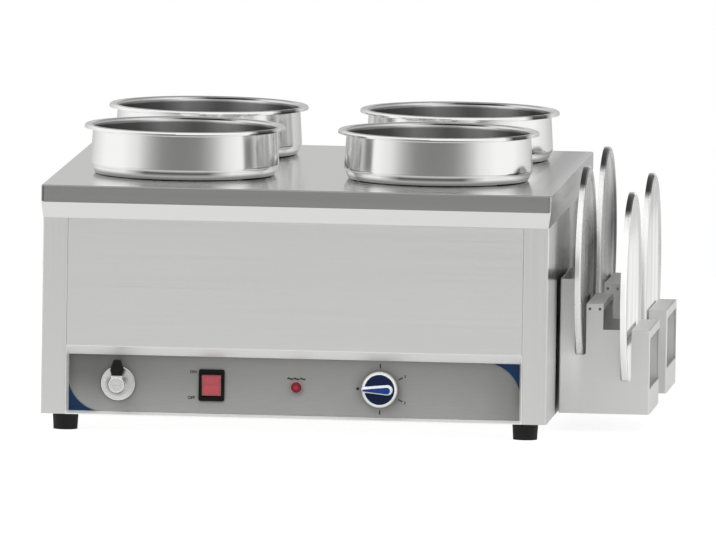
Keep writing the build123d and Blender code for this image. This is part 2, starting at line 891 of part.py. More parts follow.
# Rocker switch: housing with a bezel, and a rocker on two side pins
switch_spot = (switch_x, win_z)
y_bezel = y_film - bezel_t
y_pivot = y_bezel + rocker_pivot_in
y_switch_back = y_panel_back + switch_deep
pocket_w = rocker_w + 2 * rocker_gap
pocket_h = 2 * (rocker_r + rocker_gap)
with BuildPart() as switch_housing:
    with BuildSketch(facing(y_film)):
        with Locations(switch_spot):
            RectangleRounded(bezel_w, bezel_h, bezel_round)
    extrude(amount=bezel_t)
    fillet(switch_housing.faces().sort_by(Axis.Y)[0].edges(), radius=bezel_t / 2)
    with BuildSketch(facing(y_switch_back)):
        with Locations(switch_spot):
            Rectangle(switch_w, switch_h)
    extrude(amount=y_switch_back - y_film)
    with BuildSketch(facing(y_bezel)):
        with Locations(switch_spot):
            Rectangle(pocket_w, pocket_h)
    extrude(amount=-pocket_deep, mode=Mode.SUBTRACT)
    with BuildSketch(beside(switch_x - pocket_w / 2 - rocker_pin_len)):
        with Locations((y_pivot, win_z)):
            Circle(rocker_pin_r + running_gap)
    extrude(amount=pocket_w + 2 * rocker_pin_len, mode=Mode.SUBTRACT)
save(switch_housing, "switch_housing")

# The rocker leans by half its travel, with its lower half pressed
rocker_lean = radians(rocker_angle / 2)
rocker_side = Plane(
    origin=(cx + switch_x - rocker_w / 2, y_pivot, win_z),
    x_dir=(0, cos(rocker_lean), sin(rocker_lean)),
    z_dir=(1, 0, 0),
)
rocker_front_z = sqrt(rocker_r**2 - rocker_front**2)
rocker_back_z = sqrt(rocker_r**2 - rocker_back**2)
with BuildPart() as switch_rocker:
    with BuildSketch(rocker_side):
        with BuildLine():
            Polyline(
                (-rocker_front, -rocker_front_z), (-rocker_crown, 0), (-rocker_front, rocker_front_z)
            )
            ThreePointArc((-rocker_front, rocker_front_z), (0, rocker_r), (rocker_back, rocker_back_z))
            Line((rocker_back, rocker_back_z), (rocker_back, -rocker_back_z))
            ThreePointArc(
                (rocker_back, -rocker_back_z), (0, -rocker_r), (-rocker_front, -rocker_front_z)
            )
        make_face()
    extrude(amount=rocker_w)
    with BuildSketch(beside(switch_x - rocker_w / 2 - rocker_pin_len)):
        with Locations((y_pivot, win_z)):
            Circle(rocker_pin_r)
    extrude(amount=rocker_w + 2 * rocker_pin_len)
save(switch_rocker, "switch_rocker")

with BuildPart() as switch_terminals:
    with BuildSketch(facing(y_switch_back)):
        with Locations(switch_spot):
            with GridLocations(switch_w / 2, switch_h / 2, 2, 2):
                Rectangle(blade_t, blade_w)
    extrude(amount=-blade_len)
save(switch_terminals, "switch_terminals")

# Pilot lamp: flanged body through the panel, with a domed lens in front
lamp_spot = (lamp_x, win_z)
with BuildPart() as lamp_body:
    with BuildSketch(facing(y_film)):
        with Locations(lamp_spot):
            Circle(lamp_r)
    extrude(amount=lamp_flange_t)
    with BuildSketch(facing(y_panel_back)):
        with Locations(lamp_spot):
            Circle(lamp_stem_r)
    extrude(amount=y_panel_back - y_film)
    with BuildSketch(facing(y_panel_back)):
        with Locations(lamp_spot):
            Circle(lamp_back_r)
    extrude(amount=-lamp_back_len)
    with BuildSketch(facing(y_panel_back + lamp_back_len)):
        with Locations(lamp_spot):
            with GridLocations(lamp_back_r, 0, 2, 1):
                Rectangle(blade_t, blade_w / 2)
    extrude(amount=-blade_len)
save(lamp_body, "lamp_body")

with BuildPart() as lamp_lens:
    with BuildSketch(facing(y_film - lamp_flange_t)):
        with Locations(lamp_spot):
            Circle(lamp_r - lens_step)
    extrude(amount=lens_h)
    fillet(lamp_lens.faces().sort_by(Axis.Y)[0].edges(), radius=lens_h - lens_step)
save(lamp_lens, "lamp_lens")

# Thermostat hung on the panel by its bush and nut, with the knob on its shaft
knob_spot = (knob_x, win_z)
with BuildPart() as thermostat_body:
    with BuildSketch(facing(y_panel_back)):
        with Locations(knob_spot):
            RectangleRounded(thermo_w, thermo_h, thermo_round)
    extrude(amount=-thermo_deep)
    with BuildSketch(facing(y_panel_back)):
        with Locations(knob_spot):
            Circle(bush_r)
    extrude(amount=y_panel_back - y_film + bush_len)
    with BuildSketch(facing(y_panel_back + shaft_in + fit_gap)):
        with Locations(knob_spot):
            Circle(shaft_r + running_gap)
    extrude(amount=shaft_in + fit_gap + y_panel_back - y_film + bush_len, mode=Mode.SUBTRACT)
    with BuildSketch(facing(y_thermo_back)):
        with Locations(knob_spot):
            with GridLocations(thermo_w / 2, 0, 2, 1):
                Rectangle(blade_t, blade_w)
    extrude(amount=-blade_len)
save(thermostat_body, "thermostat_body")

with BuildPart() as thermostat_nut:
    with BuildSketch(facing(y_film)):
        with Locations(knob_spot):
            RegularPolygon(bush_nut_af / 2, 6, major_radius=False)
            Circle(bush_r + fit_gap, mode=Mode.SUBTRACT)
    extrude(amount=bush_nut_t)
save(thermostat_nut, "thermostat_nut")

y_knob = y_film - knob_gap
y_cap = y_knob - knob_lip_t
y_cap_front = y_cap - knob_cap_h
y_shaft_tip = y_cap_front - knob_bar_h / 2
cap_r = knob_r - knob_ring_w - fit_gap
with BuildPart() as thermostat_shaft:
    with BuildSketch(facing(y_panel_back + shaft_in)):
        with Locations(knob_spot):
            Circle(shaft_r)
    extrude(amount=y_panel_back + shaft_in - y_shaft_tip)
save(thermostat_shaft, "thermostat_shaft")

with BuildPart() as knob_skirt:
    with BuildSketch(facing(y_knob)):
        with Locations(knob_spot):
            Circle(knob_r)
    extrude(amount=knob_skirt_h)
    fillet(knob_skirt.faces().sort_by(Axis.Y)[0].edges(), radius=knob_ring_w / 3)
    with BuildSketch(facing(y_knob)):
        with Locations(knob_spot):
            Circle(cap_r - knob_lip_w)
    extrude(amount=knob_skirt_h, mode=Mode.SUBTRACT)
    with BuildSketch(facing(y_cap)):
        with Locations(knob_spot):
            Circle(knob_r - knob_ring_w)
    extrude(amount=knob_skirt_h - knob_lip_t, mode=Mode.SUBTRACT)
save(knob_skirt, "knob_skirt")

# Knob cap: a disc with a pointer bar that tapers to its tip at nine o'clock
with BuildPart() as knob_cap:
    with BuildSketch(facing(y_cap)):
        with Locations(knob_spot):
            Circle(cap_r)
    extrude(amount=knob_cap_h)
    fillet(knob_cap.faces().sort_by(Axis.Y)[0].edges(), radius=knob_cap_round)
    with BuildSketch(facing(y_cap_front)):
        with Locations((knob_x - knob_tip_reach + knob_tip_w / 2, win_z)):
            Circle(knob_tip_w / 2)
        with Locations((knob_x + knob_bar_back - knob_bar_w / 2, win_z)):
            Circle(knob_bar_w / 2)
        make_hull()
    extrude(amount=knob_bar_h, taper=knob_bar_taper)
    with BuildSketch(facing(y_cap)):
        with Locations(knob_spot):
            Circle(knob_cavity_r)
    extrude(amount=knob_cavity_deep, mode=Mode.SUBTRACT)
    with BuildSketch(facing(y_cap)):
        with Locations(knob_spot):
            Circle(shaft_r + tang_gap)
    extrude(amount=y_cap - y_shaft_tip, mode=Mode.SUBTRACT)
save(knob_cap, "knob_cap")

# Cable gland in the rear panel, with its nut inside
gland_spot = (gland_x, gland_z)
with BuildPart() as cable_gland:
    with BuildSketch(facing(y_rear)):
        with Locations(gland_spot):
            RegularPolygon(gland_af / 2, 6, major_radius=False)
    extrude(amount=-gland_hex_t)
    with BuildSketch(facing(y_rear + gland_hex_t)):
        with Locations(gland_spot):
            Circle(gland_thread_r)
    extrude(amount=-gland_dome_h)
    fillet(cable_gland.faces().sort_by(Axis.Y)[-1].edges(), radius=gland_dome_h / 3)
    with BuildSketch(facing(y_rear)):
        with Locations(gland_spot):
            Circle(gland_thread_r)
    extrude(amount=sheet + gland_nut_t)
    with BuildSketch(facing(y_rear + gland_hex_t + gland_dome_h)):
        with Locations(gland_spot):
            Circle(gland_bore_r)
    extrude(amount=gland_dome_h + gland_hex_t + sheet + gland_nut_t, mode=Mode.SUBTRACT)
save(cable_gland, "cable_gland")

with BuildPart() as gland_nut:
    with BuildSketch(facing(y_rear - sheet)):
        with Locations(gland_spot):
            RegularPolygon(gland_af / 2, 6, major_radius=False)
            Circle(gland_thread_r + fit_gap, mode=Mode.SUBTRACT)
    extrude(amount=gland_nut_t)
save(gland_nut, "gland_nut")

# Terminal block on the base plate, with a cell for each wire
block_x = surround_w / 2 - block_in
with BuildPart() as terminal_block:
    with BuildSketch(level(z_floor)):
        with Locations((block_x, y_rear - block_rear_in)):
            RectangleRounded(block_w, block_d, bend_r)
    extrude(amount=block_h)
    with BuildSketch(level(z_floor + block_h)):
        with Locations((block_x, y_rear - block_rear_in)):
            with GridLocations(block_w / block_cells, 0, block_cells, 1):
                Rectangle(block_w / block_cells - 2 * block_wall, block_d)
    extrude(amount=-block_h / 2, mode=Mode.SUBTRACT)
save(terminal_block, "terminal_block")

# Lid rack: two brackets, each folded round in plan and notched to a stepped outline
rack_end = rack_x + rack_len
tab_x = rack_x + slot_in_x + slot_in_w / 2 + rack_tab_w / 2
rack_rows = {"front": rack_y - rack_pitch / 2, "rear": rack_y + rack_pitch / 2}
slots = {
    "inner": (slot_in_x, slot_in_w, slot_in_low),
    "outer": (slot_out_x, slot_out_w, slot_out_low),
}
strap_hole_z = rack_z + rack_tab_h - strap_hole_down
strap_holes = [(tab_x + side * strap_hole_pitch / 2, strap_hole_z) for side in (-1, 1)]
for place, mid in rack_rows.items():
    near = mid - rack_depth / 2
    far = mid + rack_depth / 2
    with BuildPart() as rack_bracket:
        with BuildSketch(level(rack_z)):
            with BuildLine():
                rack_fold = FilletPolyline(
                    (rack_x, near + rack_flange),
                    (rack_x, near),
                    (rack_end, near),
                    (rack_end, far),
                    (rack_x, far),
                    (rack_x, far - rack_flange),
                    radius=bend_r,
                )
                offset(rack_fold, amount=sheet, side=Side.LEFT)
            make_face()
        extrude(amount=rack_back_h)
        with BuildSketch(facing(far)) as outline:
            with Locations((rack_x + rack_len / 2, rack_z + rack_step_h / 2)):
                Rectangle(rack_len, rack_step_h)
            with Locations((rack_x + (slot_in_x - slot_in_w / 2) / 2, rack_z + rack_back_h / 2)):
                Rectangle(slot_in_x - slot_in_w / 2, rack_back_h)
            with Locations((tab_x, rack_z + rack_tab_h / 2)):
                Rectangle(rack_tab_w, rack_tab_h)
            for slot_x, slot_w, slot_low in slots.values():
                with Locations((rack_x + slot_x, rack_z + (slot_low + rack_back_h) / 2)):
                    Rectangle(slot_w, rack_back_h - slot_low, mode=Mode.SUBTRACT)
                for side in (-1, 1):
                    notch = (rack_x + slot_x + side * slot_w / 2, rack_z + slot_low)
                    fillet(outline.vertices().sort_by_distance(notch)[0], radius=slot_round)
            with Locations(*strap_holes):
                Circle(strap_hole_r, mode=Mode.SUBTRACT)
        extrude(amount=rack_depth, mode=Mode.INTERSECT)
        with BuildSketch(beside(rack_end)):
            with Locations((mid, rack_z + rack_window_low + rack_window_h / 2)):
                Rectangle(rack_depth - 2 * rack_window_edge, rack_window_h)
        extrude(amount=-sheet, mode=Mode.SUBTRACT)
        with BuildSketch(beside(rack_x)):
            with Locations(*[spot for spot in rack_screw_spots if near < spot[0] < far]):
                Circle(rack_screw_r + fit_gap)
        extrude(amount=sheet, mode=Mode.SUBTRACT)
    save(rack_bracket, f"rack_bracket_{place}")

# Straps that tie each bracket's two plates together at the tab and at the outer end
with BuildPart() as rack_tab_straps:
    for mid in rack_rows.values():
        near = mid - rack_depth / 2 + sheet
        far = mid + rack_depth / 2 - sheet
        top = rack_z + rack_tab_h
        with BuildSketch(beside(tab_x - rack_tab_w / 2)):
            with BuildLine():
                tab_fold = FilletPolyline(
                    (near, top - strap_lip), (near, top), (far, top), (far, top - strap_lip), radius=bend_r
                )
                offset(tab_fold, amount=sheet, side=Side.RIGHT)
            make_face()
        extrude(amount=rack_tab_w)
        with BuildSketch(beside(tab_x + rack_tab_w / 2)):
            with Locations((mid, top - strap_side / 2)):
                Rectangle(rack_depth - 4 * sheet, strap_side - sheet)
        extrude(amount=-sheet)
    with BuildSketch(facing(rack_rows["rear"] + rack_depth / 2)):
        with Locations(*strap_holes):
            Circle(strap_hole_r)
    extrude(amount=rack_pitch + rack_depth, mode=Mode.SUBTRACT)
save(rack_tab_straps, "rack_tab_straps")

end_strap_x = rack_x + slot_out_x + slot_out_w / 2
with BuildPart() as rack_end_straps:
    for mid in rack_rows.values():
        near = mid - rack_depth / 2 + sheet
        far = mid + rack_depth / 2 - sheet
        top = rack_z + rack_step_h
        with BuildSketch(beside(end_strap_x)):
            with BuildLine():
                end_fold = FilletPolyline(
                    (near, top - strap_lip), (near, top), (far, top), (far, top - strap_lip), radius=bend_r
                )
                offset(end_fold, amount=sheet, side=Side.RIGHT)
            make_face()
        extrude(amount=rack_end - bend_r - end_strap_x)
save(rack_end_straps, "rack_end_straps")

# Spacers, screws and nuts that hold the rack off the side panel
with BuildPart() as rack_spacers:
    with BuildSketch(beside(body_w / 2)):
        with Locations(*rack_screw_spots):
            Circle(spacer_r)
        with Locations(*rack_screw_spots):
            Circle(rack_screw_r + fit_gap, mode=Mode.SUBTRACT)
    extrude(amount=rack_gap)
save(rack_spacers, "rack_spacers")

with BuildPart() as rack_screws:
    with BuildSketch(beside(rack_x + sheet)):
        with Locations(*rack_screw_spots):
            Circle(rack_head_r)
    extrude(amount=rack_head_h)
    with BuildSketch(beside(rack_x + sheet)):
        with Locations(*rack_screw_spots):
            Circle(rack_screw_r)
    extrude(amount=-(2 * sheet + rack_gap + rack_nut_t))
save(rack_screws, "rack_screws")

with BuildPart() as rack_nuts:
    with BuildSketch(beside(body_w / 2 - sheet)):
        with Locations(*rack_screw_spots):
            RegularPolygon(rack_nut_af / 2, 6, major_radius=False)
        with Locations(*rack_screw_spots):
            Circle(rack_screw_r + fit_gap, mode=Mode.SUBTRACT)
    extrude(amount=-rack_nut_t)
save(rack_nuts, "rack_nuts")

# Lids: pressed discs with a skirt, on edge in the slots with their tops to the right
lid_rise = sqrt((lid_r + lid_rest_gap) ** 2 - (rack_depth / 2 - sheet) ** 2)
lid_top = lid_skirt / 2
lid_leans = {"front": lid_lean_front, "rear": lid_lean_rear}
for place, mid in rack_rows.items():
    for side, (slot_x, slot_w, slot_low) in slots.items():
        middle = (cx + rack_x + slot_x + lid_leans[place], mid, rack_z + slot_low + lid_rise)
        with BuildPart() as lid:
            with BuildSketch(Plane(origin=middle, x_dir=(1, 0, 0), z_dir=(0, -1, 0))):
                with BuildLine():
                    lid_line = FilletPolyline(
                        (lid_top - lid_dish, 0),
                        (lid_top - lid_dish, lid_r - lid_flange - lid_dish),
                        (lid_top, lid_r - lid_flange),
                        (lid_top, lid_r),
                        (lid_top - lid_skirt, lid_r),
                        radius=[lid_dish, lid_dish, lid_edge_round],
                    )
                    offset(lid_line, amount=lid_wall, side=Side.LEFT)
                make_face()
            revolve(axis=Axis(middle, (1, 0, 0)))
        save(lid, f"lid_{place}_{side}")

# Pots: spun shells that hang in the deck by the flat under their bulged collar
pot_rows = {"front": pots_y - pot_pitch_y / 2, "rear": pots_y + pot_pitch_y / 2}
pot_columns = {"left": -pot_pitch_x / 2, "right": pot_pitch_x / 2}
for place, pot_y in pot_rows.items():
    for side, pot_x in pot_columns.items():
        seat = (cx + pot_x, pot_y, deck_h)
        with BuildPart() as pot:
            with BuildSketch(Plane(origin=seat, x_dir=(1, 0, 0), z_dir=(0, -1, 0))):
                with BuildLine():
                    pot_line = FilletPolyline(
                        (0, -pot_deep),
                        (pot_body_r, -pot_deep),
                        (pot_body_r, 0),
                        (pot_seat_r, 0),
                        (pot_bulge_r, pot_bulge_h),
                        (pot_neck_r, pot_rim_h - pot_wall),
                        (pot_neck_r + pot_flange, pot_rim_h - pot_wall),
                        (pot_neck_r + pot_flange, pot_rim_h - pot_wall - pot_roll),
                        radius=[
                            pot_base_round,
                            pot_hole_gap,
                            pot_seat_round,
                            pot_bulge_round,
                            pot_neck_round,
                            pot_rim_round,
                        ],
                    )
                    offset(pot_line, amount=pot_wall, side=Side.LEFT)
                make_face()
            revolve(axis=Axis(seat, (0, 0, 1)))
        save(pot, f"pot_{place}_{side}")
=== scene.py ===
import math

import bmesh
import bpy
from mathutils import Matrix, Vector


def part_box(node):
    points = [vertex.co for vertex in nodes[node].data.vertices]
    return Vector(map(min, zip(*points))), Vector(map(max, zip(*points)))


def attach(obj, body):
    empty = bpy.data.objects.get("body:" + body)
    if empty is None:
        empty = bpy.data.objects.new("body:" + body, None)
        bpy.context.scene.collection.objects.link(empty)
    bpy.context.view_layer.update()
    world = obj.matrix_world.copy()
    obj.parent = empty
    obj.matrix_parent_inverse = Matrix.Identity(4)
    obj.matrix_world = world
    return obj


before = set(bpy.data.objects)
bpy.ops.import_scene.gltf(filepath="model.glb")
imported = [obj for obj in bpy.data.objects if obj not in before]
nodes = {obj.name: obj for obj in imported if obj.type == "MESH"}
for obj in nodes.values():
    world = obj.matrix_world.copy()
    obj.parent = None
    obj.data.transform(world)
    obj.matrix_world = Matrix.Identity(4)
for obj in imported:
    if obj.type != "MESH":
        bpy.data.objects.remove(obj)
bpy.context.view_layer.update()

scene = bpy.context.scene

# Looks of the CAD's pieces come first, then seam strips and printed marks, then stage and camera
WHITE = (1.0, 1.0, 1.0)
# Most values of a noise texture lie between these
NOISE_RANGE = (0.3, 0.7)
# Sockets of a Mix node, by number because each kind of value has a set of its own
MIX_FACTOR = 0
MIX_VECTORS, MIX_VECTOR = (4, 5), 1
MIX_COLOURS, MIX_COLOUR = (6, 7), 2


def middle(node):
    """Centre of a CAD node's box at rest."""
    low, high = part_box(node)
    return (low + high) / 2


def grey(level):
    """Opaque grey for a colour socket."""
    return (level, level, level, 1)


def add_node(tree, kind, inputs=None, **settings):
    """Add a node to a tree, set its properties, and fill inputs by value or by link."""
    made = tree.nodes.new(kind)
    for key, value in settings.items():
        setattr(made, key, value)
    for socket, value in (inputs or {}).items():
        if isinstance(value, bpy.types.NodeSocket):
            tree.links.new(value, made.inputs[socket])
        else:
            made.inputs[socket].default_value = value
    return made


def fill_ramp(ramp, stops):
    """Give a new colour ramp its stops, each a position from 0 to 1 and a grey."""
    ends = (ramp.elements[0], stops[0]), (ramp.elements[1], stops[-1])
    for element, (position, level) in ends:
        element.position = position
        element.color = grey(level)
    for position, level in stops[1:-1]:
        ramp.elements.new(position).color = grey(level)


def add_object(name, data):
    """Put a mesh, curve, light or camera into the scene."""
    made = bpy.data.objects.new(name, data)
    scene.collection.objects.link(made)
    return made


def mesh_object(name, form):
    """Put a bmesh into the scene and free it."""
    mesh = bpy.data.meshes.new(name)
    form.to_mesh(mesh)
    form.free()
    return add_object(name, mesh)


class Look:
    """A material's node tree around one Principled shader."""

    def __init__(self, name, colour, roughness, metallic=0.0):
        self.material = bpy.data.materials.new(name)
        self.material.use_nodes = True
        self.tree = self.material.node_tree
        self.shader = self.tree.nodes["Principled BSDF"]
        self.set("Base Color", (*colour, 1.0))
        self.set("Roughness", roughness)
        self.set("Metallic", metallic)
        self.coordinates = None

    def set(self, socket, value):
        """Give one of the shader's sockets a constant."""
        self.shader.inputs[socket].default_value = value

    def drive(self, socket, source):
        """Link a node's output to one of the shader's sockets."""
        self.tree.links.new(source, self.shader.inputs[socket])

    def feeds(self, socket):
        """What is linked to one of the shader's sockets."""
        return self.shader.inputs[socket].links[0].from_socket

    def node(self, kind, inputs=None, **settings):
        """Add a node to this material."""
        return add_node(self.tree, kind, inputs, **settings)

    def texture_space(self, output):
        """One output of the tree's only coordinate node."""
        if self.coordinates is None:
            self.coordinates = self.node("ShaderNodeTexCoord")
        return self.coordinates.outputs[output]

    def position(self):
        """Object coordinates, which are the shared frame's metres at rest."""
        return self.texture_space("Object")

    def split(self, vector):
        """X, Y and Z of a vector."""
        return self.node("ShaderNodeSeparateXYZ", {"Vector": vector}).outputs

    def axes(self):
        """Object coordinates as separate X, Y and Z."""
        return self.split(self.position())

    def normal(self):
        """Object-space normal as separate X, Y and Z."""
        return self.split(self.texture_space("Normal"))

    def scaled(self, scale):
        """Object coordinates stretched by a scale on each axis."""
        mapping = self.node("ShaderNodeMapping", {"Vector": self.position(), "Scale": scale})
        return mapping.outputs["Vector"]

    def noise(self, vector, detail, scale=1.0):
        """Noise from 0 to 1 over a vector."""
        inputs = {"Vector": vector, "Scale": scale, "Detail": detail}
        return self.node("ShaderNodeTexNoise", inputs).outputs["Fac"]

    def math(self, operation, first, second=0.0):
        """One arithmetic node."""
        made = self.node("ShaderNodeMath", {0: first, 1: second}, operation=operation)
        return made.outputs["Value"]

    def times(self, first, *others):
        """Product of values."""
        for other in others:
            first = self.math("MULTIPLY", first, other)
        return first

    def spread(self, value, low, high, from_low=0.0, from_high=1.0, smooth=False):
        """Map a value from one range to another."""
        source = {"Value": value, "From Min": from_low, "From Max": from_high}
        made = self.node(
            "ShaderNodeMapRange",
            {**source, "To Min": low, "To Max": high},
            interpolation_type="SMOOTHSTEP" if smooth else "LINEAR",
        )
        return made.outputs["Result"]

    def ramp(self, value, stops):
        """Grey that follows a value through stops, each a place on its scale and a grey."""
        low, high = stops[0][0], stops[-1][0]
        made = self.node("ShaderNodeValToRGB", {"Fac": self.spread(value, 0.0, 1.0, low, high)})
        shares = [((place - low) / (high - low), level) for place, level in stops]
        fill_ramp(made.color_ramp, shares)
        return made.outputs["Color"]

    def tint(self, first, *others):
        """Multiply colours."""
        for other in others:
            made = self.node("ShaderNodeVectorMath", {0: first, 1: other}, operation="MULTIPLY")
            first = made.outputs["Vector"]
        return first

    def blend(self, factor, first, second):
        """Mix two linked vectors."""
        inputs = {MIX_FACTOR: factor, **dict(zip(MIX_VECTORS, (first, second)))}
        return self.node("ShaderNodeMix", inputs, data_type="VECTOR").outputs[MIX_VECTOR]

    def mix(self, factor, first, second):
        """Mix two colours, each a value or a link."""
        inputs = {MIX_FACTOR: factor}
        for socket, value in zip(MIX_COLOURS, (first, second)):
            linked = isinstance(value, bpy.types.NodeSocket)
            inputs[socket] = value if linked else (*value, 1.0)
        return self.node("ShaderNodeMix", inputs, data_type="RGBA").outputs[MIX_COLOUR]

    def bump(self, height, distance, strength=1.0, under=None):
        """Shade small relief, its height in metres, over another normal where one is given."""
        inputs = {"Height": height, "Distance": distance, "Strength": strength}
        if under:
            inputs["Normal"] = under
        self.drive("Normal", self.node("ShaderNodeBump", inputs).outputs["Normal"])

    def folds(self, reach, own=True):
        """Ambient-occlusion grey that goes dark in corners and folds, of the piece alone or of
        all pieces, for painted shade.
        """
        made = self.node("ShaderNodeAmbientOcclusion", {"Distance": reach}, only_local=own)
        return made.outputs["AO"]

    def vary_colour(self, factor, colour, spread):
        """Shade the base colour a little down and up by a factor from 0 to 1."""
        dark = tuple(channel * (1 - spread) for channel in colour)
        light = tuple(min(1.0, channel * (1 + spread)) for channel in colour)
        self.drive("Base Color", self.mix(factor, dark, light))

    def vary_roughness(self, factor, roughness, shares=(0.8, 1.2)):
        """Let a noise vary the roughness between two shares of it."""
        low, high = (min(1.0, roughness * share) for share in shares)
        self.drive("Roughness", self.spread(factor, low, high, *NOISE_RANGE))


def paint(look, *names):
    """Give CAD nodes a finished material."""
    for name in names:
        for slot in nodes[name].material_slots:
            slot.material = look.material


# Brushed steel: how quickly its lines change along X, Y and Z, their relief, and colour spreads
ALONG_X = (3.0, 1500.0, 1500.0)
ALONG_Z = (1500.0, 1500.0, 3.0)
ALL_OVER = (900.0, 900.0, 900.0)
LINE_DETAIL = 6.0
RELIEF, FINE_RELIEF, FINEST_RELIEF = 0.000004, 0.000002, 0.000001
CLOUD_SCALE, CLOUD_DETAIL = 7.0, 2.0
EVEN, UNEVEN, CLOUDED, PLATED = 0.01, 0.02, 0.05, 0.04
STEEL = (0.86, 0.86, 0.845)
POLISHED = (0.92, 0.92, 0.91)


def brushed_steel(name, colour, roughness, grain, relief=RELIEF, spread=EVEN, metallic=1.0):
    """Steel with fine lines and faint clouds."""
    look = Look(name, colour, roughness, metallic)
    lines = look.noise(look.scaled(grain), LINE_DETAIL)
    clouds = look.noise(look.position(), CLOUD_DETAIL, CLOUD_SCALE)
    look.vary_colour(clouds, colour, spread)
    look.vary_roughness(lines, roughness)
    look.bump(lines, relief)
    return look


def plain_metal(name, colour, roughness):
    """Turned or plated metal with a faint grain."""
    return brushed_steel(name, colour, roughness, ALL_OVER, FINE_RELIEF, PLATED)


def around(look, centre, axis):
    """Place from a centre as X, Y and Z, and the radius round an axis through that centre."""
    inputs = {0: look.position(), 1: centre}
    moved = look.node("ShaderNodeVectorMath", inputs, operation="SUBTRACT")
    place = look.split(moved.outputs["Vector"])
    squares = [look.times(place[name], place[name]) for name in "XYZ" if name != axis]
    return place, look.math("SQRT", look.math("ADD", *squares))


# Cabinet sheet: its roughness, the faces of a side panel that are turned aside, their gloss and
# metal, the metal taken off the painted lit strip, and the reach of painted shade by the rack
SHEET_ROUGHNESS = 0.6
SIDE_TURN = (0.6, 0.9)
SIDE_GLOSS, SIDE_METAL, SIDE_PALE, SIDE_FOLD = 0.5, 0.35, 0.25, 0.008

# Painted shade and reflection on the right end from its front on: by slanted height, and by place
# towards the back; also the painted tint of the lit strip in front of the rack, its top and its
# fade
END_START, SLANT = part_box("right_side_panel")[0].y, 0.089
PAINTED_LIT_STRIP, PAINTED_LIT_STRIP_TOP, PAINTED_LIT_STRIP_FADE = (0.74, 0.74, 0.74), 0.1605, 0.003
SIDE_SHADE = (
    (0.14, 0.05), (0.163, 0.06), (0.167, 0.12), (0.171, 0.4), (0.174, 1.0), (0.177, 1.14),
    (0.183, 1.12), (0.191, 1.1), (0.201, 1.06), (0.211, 1.0), (0.223, 1.0), (0.235, 1.05),
    (0.25, 1.1),
)
SIDE_BACK = ((END_START + 0.14, 1.0), (END_START + 0.316, 0.85))
DECK_END = (
    (0.225, 0.25), (0.227, 0.28), (0.231, 0.4), (0.236, 0.55), (0.24, 0.74), (0.241, 0.85),
    (0.251, 0.93), (0.262, 1.0),
)
DECK_BACK = ((END_START + 0.114, 1.0), (END_START + 0.29, 0.56))

# Deck: faces that look to the right, up and over the rounded edge, and the lip's ends by normal;
# painted shade and reflection on the lip's ends, beside the right pots and on the rounded front
# edge
DECK_ROUGHNESS = 0.15
FACING_RIGHT, FACING_UP, ROUNDED = 0.8, 0.95, (0.1, 0.3)
LIP_FROM, LIP_TO = 0.001, 0.0163
LIP_TURN = (
    (-1.0, 0.0), (-0.98, 0.0), (-0.85, 1.0), (-0.2, 1.0), (-0.05, 0.0),
    (0.05, 0.0), (0.2, 0.6), (0.85, 0.6), (0.98, 0.0), (1.0, 0.0),
)
LIP_END_SHADE = (0.2, 0.2, 0.195)
DECK_RIGHT_SHADE = (
    (0.16, 1.0), (0.168, 1.0), (0.176, 0.6), (0.179, 0.45), (0.182, 0.34), (0.186, 0.36),
    (0.1915, 0.4), (0.1965, 0.49), (0.2015, 0.65), (0.206, 0.77),
)
DECK_EDGE_SHADE, DECK_EDGE_REACH = (0.4, 0.4, 0.4), 0.004

# Frame of the control panel, painted paler than the sheet for the light it catches and given
# painted shade towards its top, the plate behind it and the tank
BEVEL, BEVEL_ROUGHNESS, BEVEL_METAL, BEVEL_TOP_SHADE = (0.96, 0.96, 0.95), 0.35, 0.45, 0.86
PLATE, TANK, PLATE_ROUGHNESS = (0.3, 0.3, 0.295), (0.58, 0.58, 0.57), 0.4

# Rack: metal of its pieces, painted shade in the folds at both ends, and painted shade of the
# inner part by the cabinet, by X and by height
RACK_ROUGHNESS, RACK_FOLD = 0.5, 0.06
RACK_METAL, RACK_REAR_METAL, RACK_STRAP_METAL = 0.85, 0.7, 0.4
RACK_NEAR, RACK_FAR = (0.262, 0.268), (0.285, 0.288)
RACK_INNER, RACK_INNER_METAL = (0.226, 0.234), 0.2
RACK_INNER_SHADE = ((0.02, 0.78), (0.045, 0.81), (0.075, 0.95), (0.1, 0.98))


def slanted(look):
    """Height that also grows towards the back, for painted shades that cross the right end
    slantwise.
    """
    place = look.axes()
    back = look.math("SUBTRACT", place["Y"], END_START)
    return look.math("ADD", place["Z"], look.times(back, SLANT))


def side_look(name, fold_reach=None):
    """Side panel: glossier at its side than on its column; the right one gets painted shade and
    reflection, darkest by the rack, and a painted lit strip in front of the rack.
    """
    look = brushed_steel(name, STEEL, SHEET_ROUGHNESS, ALONG_Z, FINE_RELIEF)
    aside = look.spread(look.math("ABSOLUTE", look.normal()["X"]), 0.0, 1.0, *SIDE_TURN)
    gloss = look.spread(aside, 1.0, SIDE_GLOSS)
    look.drive("Roughness", look.times(look.feeds("Roughness"), gloss))
    metal = look.spread(aside, 1.0, SIDE_METAL)
    if fold_reach:
        tone, place = look.feeds("Base Color"), look.axes()
        height = slanted(look)
        # painted shade and reflection by slanted height and towards the back, and painted shade
        # near the rack
        shades = look.ramp(height, SIDE_SHADE), look.ramp(place["Y"], SIDE_BACK)
        shaded = look.tint(*shades, look.folds(fold_reach, own=False))
        # painted lit strip in front of the rack: its own painted tint and less metal
        before = look.math("LESS_THAN", place["Y"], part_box("rack_bracket_front")[0].y)
        low = look.spread(height, 1.0, 0.0, PAINTED_LIT_STRIP_TOP, PAINTED_LIT_STRIP_TOP + PAINTED_LIT_STRIP_FADE)
        pale = look.times(before, low)
        shaded = look.mix(pale, shaded, PAINTED_LIT_STRIP)
        look.drive("Base Color", look.blend(aside, tone, look.tint(tone, shaded)))
        metal = look.math("SUBTRACT", metal, look.times(pale, aside, SIDE_PALE))
    look.drive("Metallic", metal)
    return look


